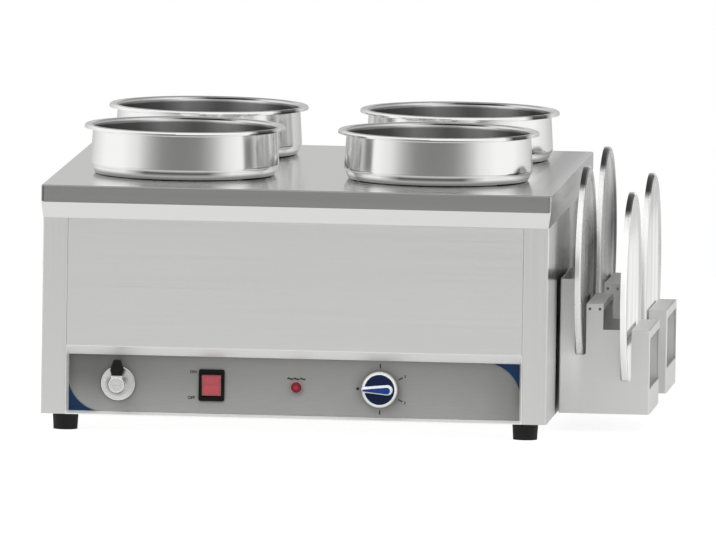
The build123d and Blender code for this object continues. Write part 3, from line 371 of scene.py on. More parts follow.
def deck_look():
    """Deck: painted shade and reflection on its front edge, beside the right pots, at its lip's
    ends and on its right end.
    """
    look = brushed_steel("steel_deck", POLISHED, DECK_ROUGHNESS, ALONG_X, FINEST_RELIEF)
    tone, place, normal = look.feeds("Base Color"), look.axes(), look.normal()
    depth = look.math("SUBTRACT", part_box("top_deck")[1].z, place["Z"])
    below = look.math("GREATER_THAN", depth, LIP_FROM), look.math("LESS_THAN", depth, LIP_TO)
    turned = look.times(*below, look.ramp(normal["X"], LIP_TURN))
    # painted shade and reflection on the right end, by slanted height and towards the back
    end_shade = look.tint(look.ramp(slanted(look), DECK_END), look.ramp(place["Y"], DECK_BACK))
    to_right = look.math("GREATER_THAN", normal["X"], FACING_RIGHT)
    tone = look.blend(to_right, tone, look.tint(tone, end_shade))
    on_top = look.math("GREATER_THAN", normal["Z"], FACING_UP)
    # painted reflection and shade on the top beside the right pots
    tone = look.blend(on_top, tone, look.tint(tone, look.ramp(place["X"], DECK_RIGHT_SHADE)))
    # painted shade on the rounded front edge, in place of its highlight
    in_front = look.math("LESS_THAN", place["Y"], END_START + DECK_EDGE_REACH)
    rising = look.spread(normal["Z"], 0.0, 1.0, *ROUNDED)
    rounded = look.times(rising, look.math("SUBTRACT", 1.0, on_top), in_front)
    tone = look.blend(rounded, tone, look.tint(tone, DECK_EDGE_SHADE))
    # painted shade on the lip's ends
    look.drive("Base Color", look.mix(turned, tone, LIP_END_SHADE))
    return look


def bevel_look():
    """Frame of the control panel, painted paler than the sheet, palest along its lower bar and
    darker towards the top by painted shade.
    """
    low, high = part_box("panel_surround")
    look = brushed_steel("steel_bevel", BEVEL, BEVEL_ROUGHNESS, ALONG_X, metallic=BEVEL_METAL)
    # painted shade that grows towards the top bar
    shade = look.ramp(look.axes()["Z"], ((low.z, 1.0), (high.z, BEVEL_TOP_SHADE)))
    look.drive("Base Color", look.tint(look.feeds("Base Color"), shade))
    return look


def rack_look(name, metallic):
    """Rack sheet: painted shade in the folds at both ends, and by the cabinet a painted shade
    that grows paler with height.
    """
    look = brushed_steel(name, STEEL, RACK_ROUGHNESS, ALONG_X, metallic=metallic)
    place = look.axes()
    near = look.spread(place["X"], 1.0, 0.0, *RACK_NEAR)
    far = look.spread(place["X"], 0.0, 1.0, *RACK_FAR)
    tone = look.feeds("Base Color")
    # painted shade in the folds at both ends
    folded = look.tint(tone, look.folds(RACK_FOLD))
    shade = look.blend(look.math("ADD", near, far), tone, folded)
    # painted shade by the cabinet, paler with height, with less metal
    inner = look.spread(place["X"], 1.0, 0.0, *RACK_INNER)
    look.drive("Base Color", look.mix(inner, shade, look.ramp(place["Z"], RACK_INNER_SHADE)))
    look.drive("Metallic", look.spread(inner, metallic, RACK_INNER_METAL))
    return look


sheet = brushed_steel("steel_front", STEEL, SHEET_ROUGHNESS, ALONG_X)
paint(sheet, "front_panel", "rear_panel", "base_plate")
paint(side_look("steel_left_side"), "left_side_panel")
paint(side_look("steel_right_side", SIDE_FOLD), "right_side_panel")
paint(deck_look(), "top_deck")
paint(bevel_look(), "panel_surround")
paint(brushed_steel("steel_plate", PLATE, PLATE_ROUGHNESS, ALONG_X), "control_panel")
paint(rack_look("steel_rack", RACK_METAL), "rack_bracket_front", "rack_end_straps")
paint(rack_look("steel_rack_rear", RACK_REAR_METAL), "rack_bracket_rear")
paint(rack_look("steel_rack_straps", RACK_STRAP_METAL), "rack_tab_straps")
tank = brushed_steel("steel_tank", TANK, PLATE_ROUGHNESS, ALONG_X, spread=CLOUDED)
paint(tank, "water_tank")

# Spun steel: its rings, their tone and relief, and the smudges on it
SPIN_RATE, SPIN_DETAIL, SPIN_TONE, SPIN_RELIEF = 2600.0, 3.0, 0.97, 0.000003
SMUDGE_SCALE, SMUDGE_DETAIL, SMUDGE_GLOSS = 22.0, 3.0, (0.85, 1.25)

# Pots: painted shade and reflection on the collar by height over the deck, other painted shade by
# place across the pot from -1 to 1
POT_ROUGHNESS, POT_INSIDE_ROUGHNESS = 0.14, 0.4
POT_IN_FRONT = ((0.0, 1.0), (0.34, 1.0), (0.58, 0.0), (1.0, 0.0))
COLLAR_ASIDE = (
    (-0.002, 1.0), (-0.001, 0.28), (0.002, 0.28), (0.003, 0.3), (0.004, 0.45), (0.005, 0.68),
    (0.0065, 1.0), (0.0085, 0.9), (0.01, 1.0),
)
COLLAR_IN_FRONT = (
    (-0.002, 1.0), (-0.001, 0.2), (0.0012, 0.2), (0.0025, 0.28), (0.0043, 0.47), (0.0055, 0.3),
    (0.0073, 0.08), (0.0085, 0.3), (0.0095, 0.6), (0.0105, 0.75), (0.012, 1.0),
)
NEXT_POT_SHADE = ((-1.0, 1.0), (0.68, 1.0), (0.78, 0.92), (1.0, 0.88))
# Painted shade under the rim: by place across, and by height
RIM_END = ((0.0, 0.0), (0.71, 0.0), (0.79, 1.0), (0.9, 1.0), (0.95, 0.0), (1.0, 0.0))
RIM_UNDER = (
    (0.03, 0.0), (0.0435, 0.0), (0.0455, 1.0), (0.048, 1.0), (0.0495, 0.4), (0.05, 0.4),
)
RIM_DARK = (0.05, 0.05, 0.05)
# Inside: how far its normal looks at the axis, and how far up where the brim starts and ends
POT_INWARD, BRIM_START, BRIM_END = (-0.2, -0.04), (0.38, 0.52), (0.75, 0.86)
# Painted reflection bands and shade by place across: on the brim, and on the inside
POT_BRIM = (
    (-1.0, 0.5), (-0.8, 0.5), (-0.55, 0.8), (-0.4, 0.8), (-0.25, 0.45), (-0.12, 0.06),
    (0.0, 0.02), (0.3, 0.02), (0.4, 0.15), (0.5, 0.7), (0.65, 0.85), (0.85, 0.7), (1.0, 0.6),
)
POT_INSIDE = (
    (-1.0, 0.13), (-0.93, 0.18), (-0.75, 0.23), (-0.6, 0.3), (-0.5, 0.5), (-0.35, 0.84),
    (-0.2, 0.7), (0.0, 0.43), (0.12, 0.48), (0.25, 0.77), (0.38, 0.89), (0.5, 0.77),
    (0.6, 0.43), (0.75, 0.2), (0.86, 0.23), (0.95, 0.1), (1.0, 0.08),
)

# Lids: the outer face and its rim by normal, a dish as height per square metre, and streaks that
# vary the tone and break up the painted shade
LID_FACE, LID_OUTWARD, LID_EDGE = 0.5, 0.05, (0.9, 0.98)
LID_DISH = 2.5
LID_STREAKS, LID_STREAK_DETAIL = (1.0, 30.0, 2.0), 3.0
LID_STREAK_NOISE, LID_STREAK_SHARE = (0.35, 0.65), (0.8, 1.1)
LID_STREAK_TONE = ((0.8, 0.8), (1.1, 1.0))
# Painted shade on a face: by place towards the back, and by height on the front and rear lids
LID_DARK = (0.01, 0.01, 0.01)
LID_BACK = (
    (-0.1, 0.0), (-0.04, 0.1), (-0.005, 0.86), (0.02, 0.93), (0.06, 0.93), (0.08, 0.9),
    (0.1, 0.85),
)
LID_LOW = ((-0.1, 0.8), (-0.01, 0.85), (0.02, 1.0), (0.045, 0.65), (0.065, 0.12), (0.09, 0.0))
LID_LOW_REAR = (
    (-0.1, 0.3), (-0.02, 0.5), (0.005, 0.9), (0.02, 1.0), (0.045, 0.8), (0.06, 0.4), (0.08, 0.0),
)
# Rim of a lid: pale and less metallic as painted light, but not at its top and front, which get a
# painted dark reflection cap
LID_RIM, LID_RIM_METAL = (0.95, 0.95, 0.94), 0.1
LID_TOP = ((0.06, 0.0), (0.075, 1.0))
LID_FRONT = ((0.0, 1.0), (0.03, 0.0))
LID_CAP = ((-0.6, 0.0), (-0.5, 1.0), (-0.12, 1.0), (-0.02, 0.0))
LID_CAP_DARK = (0.12, 0.12, 0.12)
# Each lid: how deep the painted shade on its face gets, by which heights, roughness, metal, lean
# backward and upward
LID_FINISH = {
    "front_inner": (1.0, LID_LOW, 0.25, 0.55, 0.0, 0.0),
    "rear_inner": (0.95, LID_LOW_REAR, 0.25, 0.8, 0.0, 0.0),
    "front_outer": (0.0, LID_LOW, 0.2, 1.0, 0.75, 0.25),
    "rear_outer": (0.0, LID_LOW, 0.2, 1.0, 0.75, 0.25),
}


def spun_steel(name, roughness, centre, axis):
    """Bright steel spun round an axis, its gloss smudged; the fine lines are for its relief."""
    look = Look(name, POLISHED, roughness, metallic=1.0)
    place, radius = around(look, centre, axis)
    rings = look.node("ShaderNodeCombineXYZ", {"X": radius, "Y": place[axis]})
    lines = look.noise(rings.outputs["Vector"], SPIN_DETAIL, SPIN_RATE)
    smudge = look.noise(look.position(), SMUDGE_DETAIL, SMUDGE_SCALE)
    look.vary_roughness(smudge, roughness, SMUDGE_GLOSS)
    dark = [channel * SPIN_TONE for channel in POLISHED]
    look.drive("Base Color", look.mix(lines, dark, POLISHED))
    return look, place, radius, lines


def pot_look(node, next_side):
    """Pot: painted shade and reflection on its collar at the deck, painted shade by the next pot
    and under its rim's end, and painted reflection bands inside.

    The next pot is at its right where next_side is 1, and at its left where it is -1.
    """
    centre = middle(node)
    centre.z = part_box("top_deck")[1].z
    look, place, radius, lines = spun_steel(f"steel_{node}", POT_ROUGHNESS, centre, "Z")
    across = look.math("DIVIDE", place["X"], radius)
    in_front = look.ramp(look.math("ABSOLUTE", across), POT_IN_FRONT)
    # painted shade and reflection bands on the collar
    collars = [look.ramp(place["Z"], stops) for stops in (COLLAR_ASIDE, COLLAR_IN_FRONT)]
    collar = look.mix(in_front, *collars)
    # painted shade on the side that faces the next pot
    beside = look.ramp(look.times(across, next_side), NEXT_POT_SHADE)
    tone = look.tint(look.feeds("Base Color"), collar, beside)
    # painted shade under the rim's end, on the front half
    before = look.math("LESS_THAN", place["Y"], 0.0)
    under = look.times(look.ramp(across, RIM_END), look.ramp(place["Z"], RIM_UNDER), before)
    tone = look.mix(under, tone, RIM_DARK)
    normal = look.normal()
    outward = [look.times(place[name], normal[name]) for name in "XY"]
    outward = look.math("DIVIDE", look.math("ADD", *outward), radius)
    inside = look.spread(outward, 1.0, 0.0, *POT_INWARD)
    inside = look.times(inside, look.spread(normal["Z"], 1.0, 0.0, *BRIM_END))
    brim = look.spread(normal["Z"], 0.0, 1.0, *BRIM_START)
    # painted reflection bands on the brim and inside
    streaked = look.mix(brim, look.ramp(across, POT_INSIDE), look.ramp(across, POT_BRIM))
    look.drive("Base Color", look.mix(inside, tone, streaked))
    dull = look.times(inside, POT_INSIDE_ROUGHNESS - POT_ROUGHNESS)
    look.drive("Roughness", look.math("ADD", look.feeds("Roughness"), dull))
    look.bump(lines, SPIN_RELIEF)
    return look


def lid_look(node, shade, low, roughness, metallic, backward, upward):
    """Lid: slightly dished, pale at its rim with a painted dark reflection cap, and painted shade
    on its face where the next lid stands near.
    """
    look, place, radius, lines = spun_steel(f"steel_{node}", roughness, middle(node), "X")
    facing = look.normal()["X"]
    on_face = look.math("GREATER_THAN", facing, LID_FACE)
    streaks = look.noise(look.scaled(LID_STREAKS), LID_STREAK_DETAIL)
    streaks = look.spread(streaks, *LID_STREAK_SHARE, *LID_STREAK_NOISE)
    streaked = look.mix(on_face, WHITE, look.ramp(streaks, LID_STREAK_TONE))
    tone = look.tint(look.feeds("Base Color"), streaked)
    top_front = look.times(look.ramp(place["Z"], LID_TOP), look.ramp(place["Y"], LID_FRONT))
    edge = look.spread(facing, 1.0, 0.0, *LID_EDGE)
    rim = look.math("MAXIMUM", look.math("SUBTRACT", edge, top_front), 0.0)
    # pale rim, painted light together with its lower metal
    tone = look.mix(rim, tone, LID_RIM)
    along = look.ramp(look.math("DIVIDE", place["Y"], radius), LID_CAP)
    # painted dark reflection cap on the rim's top front
    tone = look.mix(look.times(edge, top_front, along), tone, LID_CAP_DARK)
    # painted shade on the face towards the back
    back = look.times(look.ramp(place["Y"], LID_BACK), look.ramp(place["Z"], low), streaks)
    back = look.times(back, look.math("GREATER_THAN", facing, LID_OUTWARD), shade)
    look.drive("Base Color", look.mix(back, tone, LID_DARK))
    metal = look.spread(on_face, 1.0, metallic)
    bare = look.times(rim, metallic - LID_RIM_METAL)
    look.drive("Metallic", look.math("SUBTRACT", metal, bare))
    dish = look.times(radius, radius, LID_DISH)
    leans = look.times(place["Y"], backward), look.times(place["Z"], upward)
    form = look.math("ADD", dish, look.math("SUBTRACT", *leans))
    formed = look.node("ShaderNodeBump", {"Height": form, "Distance": 1.0}).outputs["Normal"]
    plain = look.node("ShaderNodeNewGeometry").outputs["Normal"]
    look.bump(lines, SPIN_RELIEF, under=look.blend(on_face, plain, formed))
    return look


for name in (name for name in nodes if name.startswith("pot_")):
    paint(pot_look(name, 1.0 if name.endswith("left") else -1.0), name)
for place, finish in LID_FINISH.items():
    paint(lid_look(f"lid_{place}", *finish), f"lid_{place}")

# Small metal pieces: colour, roughness and nodes
SMALL_METAL = {
    "zinc": ((0.55, 0.55, 0.54), 0.4, (
        "foot_screws", "foot_nuts", "clamp_studs", "clamp_nuts", "heater_clamps", "bulb_clip",
        "rack_spacers", "rack_screws", "rack_nuts",
        "thermostat_nut", "thermostat_shaft", "thermostat_body",
    )),
    "heater_sheath": ((0.22, 0.215, 0.21), 0.5, ("heating_element",)),
    "copper": ((0.62, 0.33, 0.2), 0.35, ("capillary_sensor",)),
    "brass": ((0.60, 0.45, 0.19), 0.35, ("drain_valve_body", "drain_pipe", "drain_spout")),
    "blades": ((0.62, 0.55, 0.38), 0.35, ("switch_terminals",)),
    "bright_metal": ((0.93, 0.93, 0.925), 0.25, (
        "drain_lever", "drain_lever_screw", "drain_ball", "drain_stem",
    )),
}
# Rosette: painted shade by place from its lower left to its upper right, and painted shadow round
# the hub
ROSETTE, ROSETTE_ROUGHNESS, ROSETTE_FOLD = (0.92, 0.92, 0.915), 0.22, 0.006
ROSETTE_SWEEP = ((-1.42, 1.0), (-0.3, 1.0), (0.4, 0.85), (1.1, 0.8), (1.42, 0.8))
ROSETTE_FOLDED, ROSETTE_FOLDED_BY = (1.0, 0.2), (-0.8, 0.4)
# Ring of the knob: painted shade by radius
KNOB_RING, KNOB_RING_ROUGHNESS, KNOB_RING_METAL = (0.95, 0.95, 0.95), 0.3, 0.3
KNOB_EDGE_SHADE = ((0.0, 1.0), (0.0163, 1.0), (0.0173, 0.6), (0.0182, 0.35))


def rosette_look():
    """Turned rosette with painted shade round the hub and towards its upper right."""
    look = plain_metal("turned_metal", ROSETTE, ROSETTE_ROUGHNESS)
    place, radius = around(look, middle("drain_rosette"), "Y")
    slope = look.math("DIVIDE", look.math("ADD", place["X"], place["Z"]), radius)
    # painted shade towards the upper right
    tone = look.tint(look.feeds("Base Color"), look.ramp(slope, ROSETTE_SWEEP))
    # painted shadow round the hub, strongest towards its lower left
    fold = look.folds(ROSETTE_FOLD, own=False)
    share = look.spread(slope, *ROSETTE_FOLDED, *ROSETTE_FOLDED_BY)
    look.drive("Base Color", look.blend(share, tone, look.tint(tone, fold, fold, fold)))
    return look


def knob_ring_look():
    """Bright ring of the knob, with painted shade at its outer edge."""
    look = brushed_steel(
        "knob_ring", KNOB_RING, KNOB_RING_ROUGHNESS, ALL_OVER,
        spread=UNEVEN, metallic=KNOB_RING_METAL,
    )
    radius = around(look, middle("knob_skirt"), "Y")[1]
    look.drive("Base Color", look.tint(look.feeds("Base Color"), look.ramp(radius, KNOB_EDGE_SHADE)))
    return look


for name, (colour, roughness, painted) in SMALL_METAL.items():
    paint(plain_metal(name, colour, roughness), *painted)
paint(rosette_look(), "drain_rosette")
paint(knob_ring_look(), "knob_skirt")

# Plastics: their skin and cast, and for each its colour, roughness, other settings and nodes
SKIN_DETAIL, SKIN_GLOSS, SKIN_STRENGTH = 3.0, (0.85, 1.15), 0.4
CAST_SCALE, CAST_DETAIL, CAST_SPREAD = 90.0, 2.0, 0.06
COAT_ROUGHNESS = 0.08
PLASTICS = {
    "rubber": ((0.013, 0.013, 0.013), 0.6, {"relief": 0.00006, "shine": 0.3}, ("feet",)),
    "black_plastic": (
        (0.007, 0.007, 0.007), 0.4, {"shine": 0.2}, ("drain_lever_grip", "safety_cutout"),
    ),
    "switch_plastic": ((0.005, 0.004, 0.004), 0.3, {"shine": 0.15}, ("switch_housing",)),
    "lamp_plastic": ((0.56, 0.25, 0.26), 0.35, {}, ("lamp_body",)),
    "ceramic": ((0.74, 0.72, 0.67), 0.35, {}, ("heater_terminals", "terminal_block")),
    "gland_plastic": ((0.07, 0.072, 0.075), 0.5, {}, ("cable_gland", "gland_nut")),
    "accent_film": (
        (0.011, 0.03, 0.078), 0.4, {"grain": 3000.0, "relief": 0.00001, "shine": 0.1},
        ("corner_accents",),
    ),
}
# Rocker: painted shade at its edges, from a share of its half width and height
ROCKER, ROCKER_EDGE_SHADE = (0.42, 0.07, 0.085), (0.24, 0.075, 0.08)
ROCKER_ROUGHNESS, ROCKER_COAT, ROCKER_EDGE_FROM = 0.3, 0.1, (0.55, 1.0)
# Lens: its core by radius
LENS, LENS_CORE = (0.12, 0.012, 0.018), (0.38, 0.017, 0.027)
LENS_ROUGHNESS, LENS_CORE_EDGE = 0.15, (0.0012, 0.0032)
RED_SHINE = 0.3
# Film: painted shade by height and along it, how the left one fades in with height, and the
# painted
# shadow that the controls cast on it: its reach, its share and the heights over which it starts
FILM, FILM_ROUGHNESS, FILM_GLOSS = (0.26, 0.26, 0.255), 0.42, (0.36, 0.48)
FILM_BOTTOM, FILM_TOP = (0.30, 0.30, 0.295), (0.205, 0.205, 0.20)
FILM_LEFT = (
    (-0.27, 0.53), (-0.24, 0.53), (-0.2, 0.78), (-0.18, 0.85), (-0.14, 0.9), (-0.09, 0.97),
    (-0.05, 1.0),
)
FILM_RIGHT = ((0.1, 1.0), (0.14, 0.93), (0.16, 0.8), (0.18, 0.68))
FILM_FADE = ((0.02, 0.0), (0.03, 0.2), (0.042, 0.55), (0.052, 0.85), (0.06, 1.0))
FILM_REACH, FILM_NEAR, FILM_NEAR_FROM, FILM_NEAR_TO = 0.012, 0.7, 0.004, 0.016
SPECKLE, SPECKLE_DETAIL, SPECKLE_SHADES = (60.0, 2500.0, 2500.0), 5.0, (0.94, 1.06)
# Knob: its disc, the bar that stands before it, and the painted white highlight on the bar's
# flanks, which are turned aside
KNOB_DISC, KNOB_BAR = (0.005, 0.012, 0.045), (0.011, 0.044, 0.19)
KNOB_FLANK_HIGHLIGHT, KNOB_FLANK_TURN = (0.92, 0.94, 0.98), 0.8
KNOB_BAR_FROM = 0.0064
KNOB_ROUGHNESS, KNOB_SHINE = 0.3, 0.15
KNOB_SKIN_SCALE, KNOB_SKIN_DETAIL = 1500.0, 2.0


def moulded(name, colour, roughness, grain=1800.0, relief=0.00003, coat=0.0, shine=0.5):
    """Moulded plastic or rubber with a fine skin."""
    look = Look(name, colour, roughness)
    skin = look.noise(look.position(), SKIN_DETAIL, grain)
    cast = look.noise(look.position(), CAST_DETAIL, CAST_SCALE)
    look.vary_colour(cast, colour, CAST_SPREAD)
    look.vary_roughness(skin, roughness, SKIN_GLOSS)
    look.bump(skin, relief, SKIN_STRENGTH)
    look.set("Coat Weight", coat)
    look.set("Coat Roughness", COAT_ROUGHNESS)
    look.set("Specular IOR Level", shine)
    return look


def rocker_look():
    """Red rocker with painted shade towards its edges."""
    low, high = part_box("switch_rocker")
    half = (high - low) / 2
    look = moulded("rocker_plastic", ROCKER, ROCKER_ROUGHNESS, coat=ROCKER_COAT, shine=RED_SHINE)
    place = around(look, middle("switch_rocker"), "Y")[0]
    shares = look.math("DIVIDE", place["X"], half.x), look.math("DIVIDE", place["Z"], half.z)
    aside = look.math("MAXIMUM", *(look.math("ABSOLUTE", share) for share in shares))
    edge = look.spread(aside, 0.0, 1.0, *ROCKER_EDGE_FROM, smooth=True)
    # painted shade towards the edges
    look.drive("Base Color", look.mix(edge, look.feeds("Base Color"), ROCKER_EDGE_SHADE))
    return look


def lens_look():
    """Red lens with a brighter core."""
    look = moulded("lens_plastic", LENS, LENS_ROUGHNESS, shine=RED_SHINE)
    radius = around(look, middle("lamp_lens"), "Y")[1]
    core = look.spread(radius, 1.0, 0.0, *LENS_CORE_EDGE, smooth=True)
    look.drive("Base Color", look.mix(core, look.feeds("Base Color"), LENS_CORE))
    return look


def film_look():
    """Grey printed film with painted shade: darker towards its top edge, at its ends and close to
    the controls.
    """
    low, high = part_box("fascia_film")
    look = Look("panel_film", FILM, FILM_ROUGHNESS)
    place = look.axes()
    height = look.spread(place["Z"], 0.0, 1.0, low.z, high.z)
    # painted shade by height, darker towards the top edge
    shade = look.mix(height, FILM_BOTTOM, FILM_TOP)
    # painted shade at both ends
    fade = look.ramp(place["Z"], FILM_FADE)
    left = look.mix(fade, WHITE, look.ramp(place["X"], FILM_LEFT))
    shade = look.tint(shade, left, look.ramp(place["X"], FILM_RIGHT))
    # painted shadow that the controls cast
    near = look.spread(
        place["Z"], 0.0, FILM_NEAR, low.z + FILM_NEAR_FROM, low.z + FILM_NEAR_TO
    )
    shade = look.mix(near, shade, look.tint(shade, look.folds(FILM_REACH, own=False)))
    speckle = look.noise(look.scaled(SPECKLE), SPECKLE_DETAIL)
    dust = look.spread(speckle, *SPECKLE_SHADES, *NOISE_RANGE)
    tone = look.node("ShaderNodeVectorMath", {0: shade, "Scale": dust}, operation="SCALE")
    look.drive("Base Color", tone.outputs["Vector"])
    look.drive("Roughness", look.spread(speckle, *FILM_GLOSS, *NOISE_RANGE))
    look.bump(speckle, RELIEF)
    return look


def knob_look():
    """Blue cap: a deep blue disc, a brighter bar, and a painted white highlight on the bar's
    flanks.
    """
    look = Look("knob_plastic", KNOB_DISC, KNOB_ROUGHNESS)
    bar_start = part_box("knob_cap")[1].y - KNOB_BAR_FROM
    on_bar = look.math("LESS_THAN", look.axes()["Y"], bar_start)
    facing = look.split(look.node("ShaderNodeNewGeometry").outputs["Normal"])
    aside = look.math("LESS_THAN", look.math("ABSOLUTE", facing["Y"]), KNOB_FLANK_TURN)
    blue = look.mix(on_bar, KNOB_DISC, KNOB_BAR)
    # painted white highlight on the bar's flanks
    look.drive("Base Color", look.mix(look.times(on_bar, aside), blue, KNOB_FLANK_HIGHLIGHT))
    skin = look.noise(look.position(), KNOB_SKIN_DETAIL, KNOB_SKIN_SCALE)
    look.vary_roughness(skin, KNOB_ROUGHNESS)
    look.set("Specular IOR Level", KNOB_SHINE)
    return look


for name, (colour, roughness, settings, painted) in PLASTICS.items():
    paint(moulded(name, colour, roughness, **settings), *painted)
paint(rocker_look(), "switch_rocker")
paint(lens_look(), "lamp_lens")
paint(film_look(), "fascia_film")
paint(knob_look(), "knob_cap")

# Thin pieces of the scene alone, in metres: how far seam strips and prints lie off what carries
# them; the seam strips' slightly paler steel is a painted highlight line
PRINT_LIFT = 0.00004
PRINT_THICK = 0.00006
SEAM_HIGHLIGHT, SEAM_STRIP_ROUGHNESS, SEAM_STRIP_WIDTH = (0.93, 0.93, 0.915), 0.55, 0.0012

# steel a little paler than the sheet: a painted highlight line over each seam
seam_strip_look = brushed_steel("painted_seam_highlight", SEAM_HIGHLIGHT, SEAM_STRIP_ROUGHNESS, ALONG_Z)


def seam_strip(name, x):
    """Thin strip over the seam between the front panel and a column, covering its gap; its
    slightly paler steel is a painted highlight line.
    """
    low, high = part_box("front_panel")
    strip = bmesh.new()
    bmesh.ops.create_cube(strip, size=1.0)
    size = Vector((SEAM_STRIP_WIDTH, PRINT_THICK, high.z - low.z))
    bmesh.ops.scale(strip, verts=strip.verts, vec=size)
    centre = Vector((x, low.y - PRINT_LIFT, (low.z + high.z) / 2))
    bmesh.ops.translate(strip, verts=strip.verts, vec=centre)
    piece = mesh_object(name, strip)
    piece.data.materials.append(seam_strip_look.material)
    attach(piece, "cabinet")


seam_strip("seam_strip_left", (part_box("left_side_panel")[1].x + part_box("front_panel")[0].x) / 2)
seam_strip("seam_strip_right", (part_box("right_side_panel")[0].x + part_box("front_panel")[1].x) / 2)

# Printed marks on the film, in metres from the control they belong to
INK, INK_ROUGHNESS, INK_SPREAD = (0.012, 0.012, 0.012), 0.6, 0.3
INK_SCALE, INK_DETAIL = 2500.0, 2.0
WORD_SIZE, NUMBER_SIZE, BOLD = 0.0042, 0.0034, 0.00012
ON_PLACE, OFF_PLACE = (-0.0184, 0.0130), (-0.0200, -0.0129)
TICK_INNER, TICK_OUTER, TICK_WIDTH = 0.0208, 0.0254, 0.0012
DIAL_TICKS, DIAL_NUMBERS, NUMBER_PLACE = (0, 62, 118, 180), {62: "2", 118: "3"}, 0.0282
DOT_ANGLE, DOT_PLACE, DOT_RADIUS, DOT_EDGES = 270, 0.0222, 0.0015, 20
WAVE_SHIFTS, WAVE_RISE = (-0.0062, 0.0, 0.0062), 0.0084
WAVE_LENGTH, WAVE_HEIGHT, WAVE_WIDTH, WAVE_STEPS = 0.0056, 0.0005, 0.0015, 16


def print_look():
    """Dark printing ink with slightly uneven cover."""
    look = Look("ink", INK, INK_ROUGHNESS)
    cover = look.noise(look.position(), INK_DETAIL, INK_SCALE)
    look.vary_colour(cover, INK, INK_SPREAD)
    return look


ink = print_look()
film_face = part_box("fascia_film")[0].y - PRINT_LIFT


def printed(piece):
    """Finish a printed mark: it is on the film, so it rides on the cabinet."""
    piece.data.materials.append(ink.material)
    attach(piece, "cabinet")


def word(name, text, size, x, z):
    """A printed word or number, centred on a place of the film."""
    curve = bpy.data.curves.new(name, "FONT")
    curve.body = text
    curve.size = size
    curve.offset = BOLD
    curve.extrude = PRINT_THICK / 2
    curve.align_x = "CENTER"
    curve.align_y = "CENTER"
    piece = add_object(name, curve)
    piece.location = (x, film_face, z)
    piece.rotation_euler = (math.pi / 2, 0, 0)
    printed(piece)


def marks(name, outlines):
    """Flat printed shapes on the film: each outline is a list of X and Z."""
    shapes = bmesh.new()
    for outline in outlines:
        corners = [shapes.verts.new((x, film_face, z)) for x, z in outline]
        face = shapes.faces.new(corners)
        raised = bmesh.ops.extrude_face_region(shapes, geom=[face])
        moved = [part for part in raised["geom"] if isinstance(part, bmesh.types.BMVert)]
        bmesh.ops.translate(shapes, verts=moved, vec=(0, -PRINT_THICK, 0))
    bmesh.ops.recalc_face_normals(shapes, faces=shapes.faces)
    printed(mesh_object(name, shapes))


def polar(centre, angle, radius):
    """A place on the film at a clock angle, in degrees clockwise from twelve."""
    turn = math.radians(angle)
    return centre.x + radius * math.sin(turn), centre.z + radius * math.cos(turn)


def tick(centre, angle):
    """Outline of a radial line beside the dial."""
    turn = math.radians(angle)
    side = Vector((math.cos(turn), -math.sin(turn))) * TICK_WIDTH / 2
    near, far = (Vector(polar(centre, angle, radius)) for radius in (TICK_INNER, TICK_OUTER))
    return [near - side, near + side, far + side, far - side]


def dot(x, z):
    """Outline of a round mark."""
    turns = [2 * math.pi * step / DOT_EDGES for step in range(DOT_EDGES)]
    return [(x + DOT_RADIUS * math.cos(turn), z + DOT_RADIUS * math.sin(turn)) for turn in turns]


def wave(x, z):
    """Outline of one heat wave for the lamp's sign."""
    shares = [step / WAVE_STEPS for step in range(WAVE_STEPS + 1)]
    rises = [WAVE_HEIGHT * math.sin(2 * math.pi * share) for share in shares]
    line = [(x + WAVE_LENGTH * (share - 0.5), z + rise) for share, rise in zip(shares, rises)]
    half = WAVE_WIDTH / 2
    return [(px, pz - half) for px, pz in line] + [(px, pz + half) for px, pz in reversed(line)]


knob = middle("knob_skirt")
rocker = middle("switch_housing")
lamp = middle("lamp_lens")

# Dial: a dot where the pointer rests, ticks and two plain numbers
dial_dot = dot(*polar(knob, DOT_ANGLE, DOT_PLACE))
marks("dial_marks", [tick(knob, angle) for angle in DIAL_TICKS] + [dial_dot])
for angle, number in DIAL_NUMBERS.items():
    word(f"dial_number_{number}", number, NUMBER_SIZE, *polar(knob, angle, NUMBER_PLACE))

# Switch: ON above and OFF below, at its left
word("label_on", "ON", WORD_SIZE, rocker.x + ON_PLACE[0], rocker.z + ON_PLACE[1])
word("label_off", "OFF", WORD_SIZE, rocker.x + OFF_PLACE[0], rocker.z + OFF_PLACE[1])

# Lamp: three small heat waves above the lens
marks("heat_sign", [wave(lamp.x + shift, lamp.z + WAVE_RISE) for shift in WAVE_SHIFTS])

# Stage: the floor, and how it is seen by the camera and by metal
FLOOR_RADIUS, FLOOR_EDGES, FLOOR_GREY = 1.6, 96, 0.9
FLOOR_SEEN, FLOOR_MIRRORED, FLOOR_SHARE = 1.25, 0.64, 0.7
# Walls that metal sees: greys from behind the object round to the front, whatever the height
LEVEL = (1.0, 1.0, 0.0)
WALLS = (
    (0.0, 0.56), (0.14, 0.80), (0.32, 1.0), (0.60, 1.0),
    (0.78, 0.82), (0.90, 0.42), (0.96, 0.26), (1.0, 0.22),
)
# Above the walls a bright soft box, and in it a darker patch of ceiling
SOFT_BOX, SOFT_BOX_FROM, SOFT_BOX_FULL = 1.0, 0.15, 0.45
CEILING, CEILING_FROM, CEILING_FULL = 0.3, 0.82, 0.92
CEILING_TOWARD = (0.0, 0.68, 0.73)
# Light on what isn't mirrored: the world's level, and two lamps by place, size and power
AMBIENT = 0.62
LIGHT_TARGET = Vector((0, 0, 0.15))
LIGHTS = {
    "key": (Vector((-1.0, -1.6, 1.9)), 1.6, 30.0),
    "fill": (Vector((1.5, -1.1, 1.5)), 1.4, 12.0),
}

